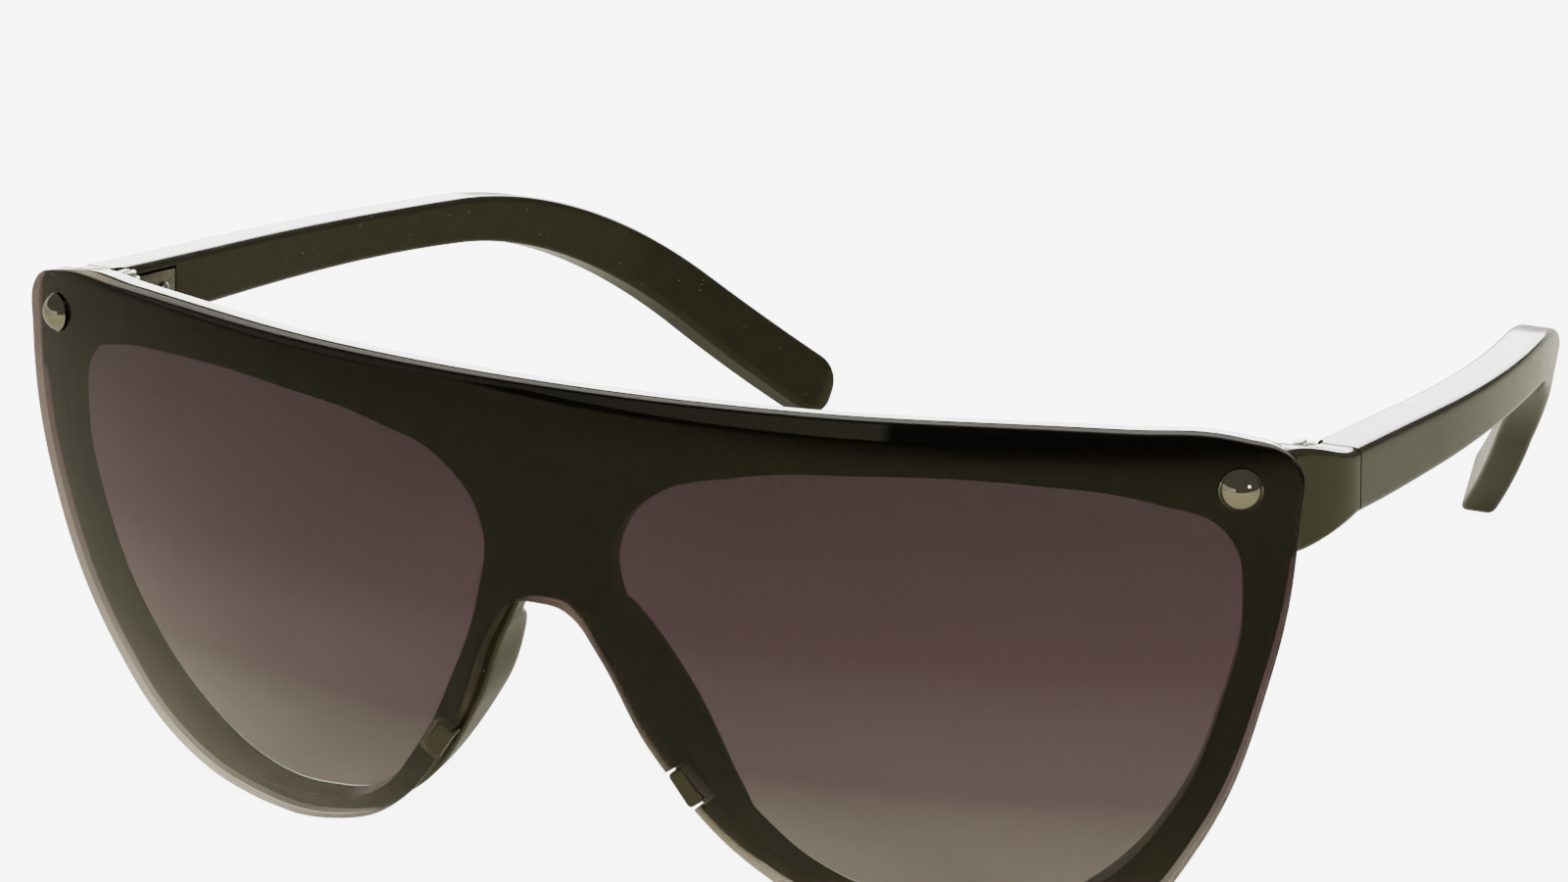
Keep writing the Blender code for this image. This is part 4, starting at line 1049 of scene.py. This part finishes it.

# %% [markdown]
# ## Gradient lens
# The lens is dyed by dipping, so the tint is deep at the brow and fades towards the cheek: a wine brown
# that clears to a warm grey. Height above the ground is a coordinate of the piece, so a colour ramp along
# it makes the fade. The sheet itself stays clear. Only wipe marks and dust show on its faces, and its edge
# is matt and painted light tan, a painted glow for the light that the clear edge catches.

# %% Lens tint
FADE_TOP = 0.0560
TINT = (
    (0.04, (0.445, 0.410, 0.390, 1.0)),
    (0.14, (0.352, 0.315, 0.314, 1.0)),
    (0.33, (0.147, 0.112, 0.132, 1.0)),
    (0.58, (0.079, 0.046, 0.066, 1.0)),
    (0.86, (0.050, 0.031, 0.043, 1.0)),
)
# The painted edge glow: a light tan painted on the lens edge faces for the light the clear edge catches,
# and the matt gloss of those faces.
PAINTED_EDGE_GLOW_TAN = (0.34, 0.29, 0.18, 1.0)
EDGE_ROUGHNESS = 0.9
gradient_lens, tree, shader = new_material(
    "gradient_lens", IOR=1.27, Transmission_Weight=1.0, Specular_Tint=(1.0, 0.97, 0.72, 1.0)
)
axes = put(tree, "SeparateXYZ", Vector=put(tree, "TexCoord").outputs["Object"])
fade = put(tree, "ValToRGB", Fac=span(tree, axes.outputs["Z"], 0.0, FADE_TOP))
stops = fade.color_ramp.elements
for position, colour in TINT[1:-1]:
    stops.new(position)
for stop, (position, colour) in zip(stops, TINT):
    stop.position = position
    stop.color = colour
wiped = use_group(tree, marks, Hairlines=0.35, Dust=0.35, Dust_Scale=1100.0)
# The painted edge glow share of each face turns the tint into painted light tan and the gloss into matt.
ground = put(tree, "Attribute", {"attribute_name": "ground_edge"}).outputs["Fac"]
colour = blended(tree, ground, fade.outputs["Color"], PAINTED_EDGE_GLOW_TAN)
frost = reckoned(tree, "MULTIPLY", ground, EDGE_ROUGHNESS)
rough = plus(tree, plus(tree, frost, wiped["Hairlines"], 0.06), wiped["Dust"], 0.3)
feed(tree, shader, {"Base Color": blended(tree, wiped["Dust"], colour, DUST_COLOUR), "Roughness": rough})
print("lens tint has", len(stops), "stops")

# %% [markdown]
# ## Metal and nylon
# The studs are turned and plated in black nickel, so they mirror the room darkly. The stamped hinge
# leaves have the same plating over a duller surface. The nuts are plated brass and the screws plain
# steel: paler, and less polished. The washers are clear nylon that has gone a little milky.

# %% Metals and nylon
def metal(name, dark, light, gloss, hairlines):
    """Metal whose colour and gloss follow its stains and fine lines, with hairlines and dust."""
    material, tree, shader = new_material(name, Metallic=1.0)
    grain = use_group(tree, lines)
    worn = use_group(tree, marks, Hairlines=hairlines, Dust=0.4, Dust_Scale=2600.0)
    colour = blended(tree, worn["Dust"], blended(tree, grain["Stain"], dark, light), DUST_COLOUR)
    rough = plus(tree, between(tree, grain["Lines"], *gloss), worn["Hairlines"], 0.2)
    feed(tree, shader, {"Base Color": colour, "Roughness": rough})
    raised(tree, shader, grain["Lines"], 0.12, 0.00001)
    return material


black_nickel = metal("black_nickel", (0.18, 0.165, 0.12, 1), (0.23, 0.215, 0.165, 1), (0.05, 0.08), 0.4)
smoked_nickel = metal("smoked_nickel", (0.08, 0.075, 0.06, 1), (0.13, 0.12, 0.10, 1), (0.22, 0.32), 1.0)
plated_brass = metal("plated_brass", (0.50, 0.45, 0.34, 1), (0.62, 0.57, 0.45, 1), (0.18, 0.28), 0.7)
plain_steel = metal("plain_steel", (0.27, 0.26, 0.24, 1), (0.36, 0.35, 0.33, 1), (0.22, 0.32), 1.0)
MILK_DARK, MILK_LIGHT = (0.62, 0.60, 0.53, 1.0), (0.74, 0.72, 0.66, 1.0)
nylon, tree, shader = new_material("milky_nylon", IOR=1.53, Subsurface_Weight=0.3, Subsurface_Scale=0.0006)
cloudy = use_group(tree, moulding, Wave_Scale=600.0)
milk = blended(tree, cloudy["Tone"], MILK_DARK, MILK_LIGHT)
feed(tree, shader, {"Base Color": milk, "Roughness": between(tree, cloudy["Tone"], 0.35, 0.5)})
raised(tree, shader, cloudy["Height"], 0.2, 0.00002)

# %% A finish for every piece
FINISHES = (
    (("frame_rim", "hook_tab", "end_piece"), frame_plastic),
    (("temple_bar",), temple_plastic),
    (("tinted_lens",), gradient_lens),
    (("stud_",), black_nickel),
    (("washer_",), nylon),
    (("nut_",), plated_brass),
    (("front_hinge_leaf", "temple_hinge_leaf"), smoked_nickel),
    (("hinge_screw", "front_leaf", "temple_leaf"), plain_steel),
)
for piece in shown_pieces():
    finish = next(material for names, material in FINISHES if piece.name.startswith(names))
    piece.data.materials.clear()
    piece.data.materials.append(finish)

# %% [markdown]
# ## Studio
# Glossy black shows nothing but the room. The glasses stand on a wide pale floor. The room is bright on
# the left, most so beside the plain edge where its dim right half begins, and the lens mirrors that edge
# in its brow. A long strip light behind the glasses draws the white lines along the upper faces. A large
# light overhead and two in front light the floor, and a small one on the right puts the spark in the
# stud. The camera itself sees a plain pale room and floor, and through the lens a plain room.

# %% Camera and floor
CAMERA_PLACE = (0.21094, -0.40870, 0.19505)
CAMERA_TURN = tuple(math.radians(value) for value in (69.823, 1.833, 27.951))
CAMERA_LENS, SENSOR_WIDTH = 100.716, 36.0
FLOOR_SIZE = 3.0
FLOOR_GLOW = 6.8
camera_data = bpy.data.cameras.new("camera")
camera_data.lens = CAMERA_LENS
camera_data.sensor_width = SENSOR_WIDTH
camera = placed("camera", camera_data)
camera.location = CAMERA_PLACE
camera.rotation_euler = CAMERA_TURN
bpy.context.scene.camera = camera

floor_mesh = bpy.data.meshes.new("floor")
edit = bmesh.new()
bmesh.ops.create_grid(edit, x_segments=1, y_segments=1, size=FLOOR_SIZE)
edit.to_mesh(floor_mesh)
edit.free()
floor = placed("floor", floor_mesh)
pale_floor, tree, shader = new_material(
    "pale_floor", Base_Color=(0.85, 0.825, 0.62, 1), Roughness=0.8, Emission_Color=(0.98, 0.985, 1.04, 1)
)
seen = put(tree, "LightPath").outputs["Is Camera Ray"]
feed(tree, shader, {"Emission Strength": reckoned(tree, "MULTIPLY", seen, FLOOR_GLOW)})
floor_mesh.materials.append(pale_floor)
print("camera lens is", CAMERA_LENS, "mm long")

# %% The room
ROOM_BRIGHT, ROOM_DIM = 1.8, 0.27
ROOM_EDGE = -0.035
ROOM_EDGE_SOFTNESS = 0.012
FAR_LEFT = -0.6
FAR_LEFT_SHARE = 0.6
BRIGHT_WALL_TOP = 0.24
BRIGHT_WALL_SOFTNESS = 0.06
SEEN_PALE, SEEN_THROUGH_LENS = 7.2, 1.25
world = bpy.data.worlds.new("studio")
bpy.context.scene.world = world
world.use_nodes = True
tree = world.node_tree
axes = put(tree, "SeparateXYZ", Vector=put(tree, "TexCoord").outputs["Generated"])
left, up = axes.outputs["X"], axes.outputs["Z"]
fall = span(tree, left, FAR_LEFT, ROOM_EDGE, To_Min=FAR_LEFT_SHARE)
left = banded(tree, left, ROOM_EDGE - ROOM_EDGE_SOFTNESS, ROOM_EDGE + ROOM_EDGE_SOFTNESS)
low = banded(tree, up, BRIGHT_WALL_TOP - BRIGHT_WALL_SOFTNESS, BRIGHT_WALL_TOP + BRIGHT_WALL_SOFTNESS)
lit = reckoned(tree, "MULTIPLY", reckoned(tree, "MULTIPLY", left, low), fall)
strength = span(tree, lit, 0.0, 1.0, To_Min=ROOM_DIM, To_Max=ROOM_BRIGHT)
rays = put(tree, "LightPath").outputs
for ray, level in (("Is Transmission Ray", SEEN_THROUGH_LENS), ("Is Camera Ray", SEEN_PALE)):
    choice = put(tree, "Mix", {"data_type": "FLOAT"})
    feed(tree, choice, {0: rays[ray], 2: strength, 3: level})
    strength = choice.outputs[0]
feed(tree, tree.nodes["Background"], {"Color": (1.0, 0.98, 0.93, 1.0), "Strength": strength})
print("the room has", len(tree.nodes), "nodes")

# %% Soft lights
LIGHTS_AIM = Vector((0.0, 0.0, 0.03))


def softbox(name, place, size, power, mirrored=True, lights_floor=True):
    """A light unseen by the camera. Gloss may mirror it or not, and it may light the floor or not."""
    data = bpy.data.lights.new(name, "AREA")
    data.shape = "RECTANGLE"
    data.size, data.size_y = size
    data.energy = power
    light = placed(name, data)
    light.location = place
    light.rotation_euler = (LIGHTS_AIM - Vector(place)).to_track_quat("-Z", "Y").to_euler()
    light.visible_camera = False
    light.visible_glossy = mirrored
    light.visible_diffuse = lights_floor


softbox("strip behind", (-0.42, 0.92, 0.22), (1.0, 0.44), 19.0, lights_floor=False)
softbox("overhead", (0.15, -0.4, 0.75), (0.6, 0.6), 6.6, mirrored=False)
softbox("front fill", (0.1, -0.9, 0.7), (0.8, 0.8), 5.0, mirrored=False)
softbox("far floor", (-0.9, -1.5, 0.8), (1.2, 1.2), 15.0, mirrored=False)
softbox("spark", (0.72, -0.33, 0.34), (0.16, 0.16), 1.5)
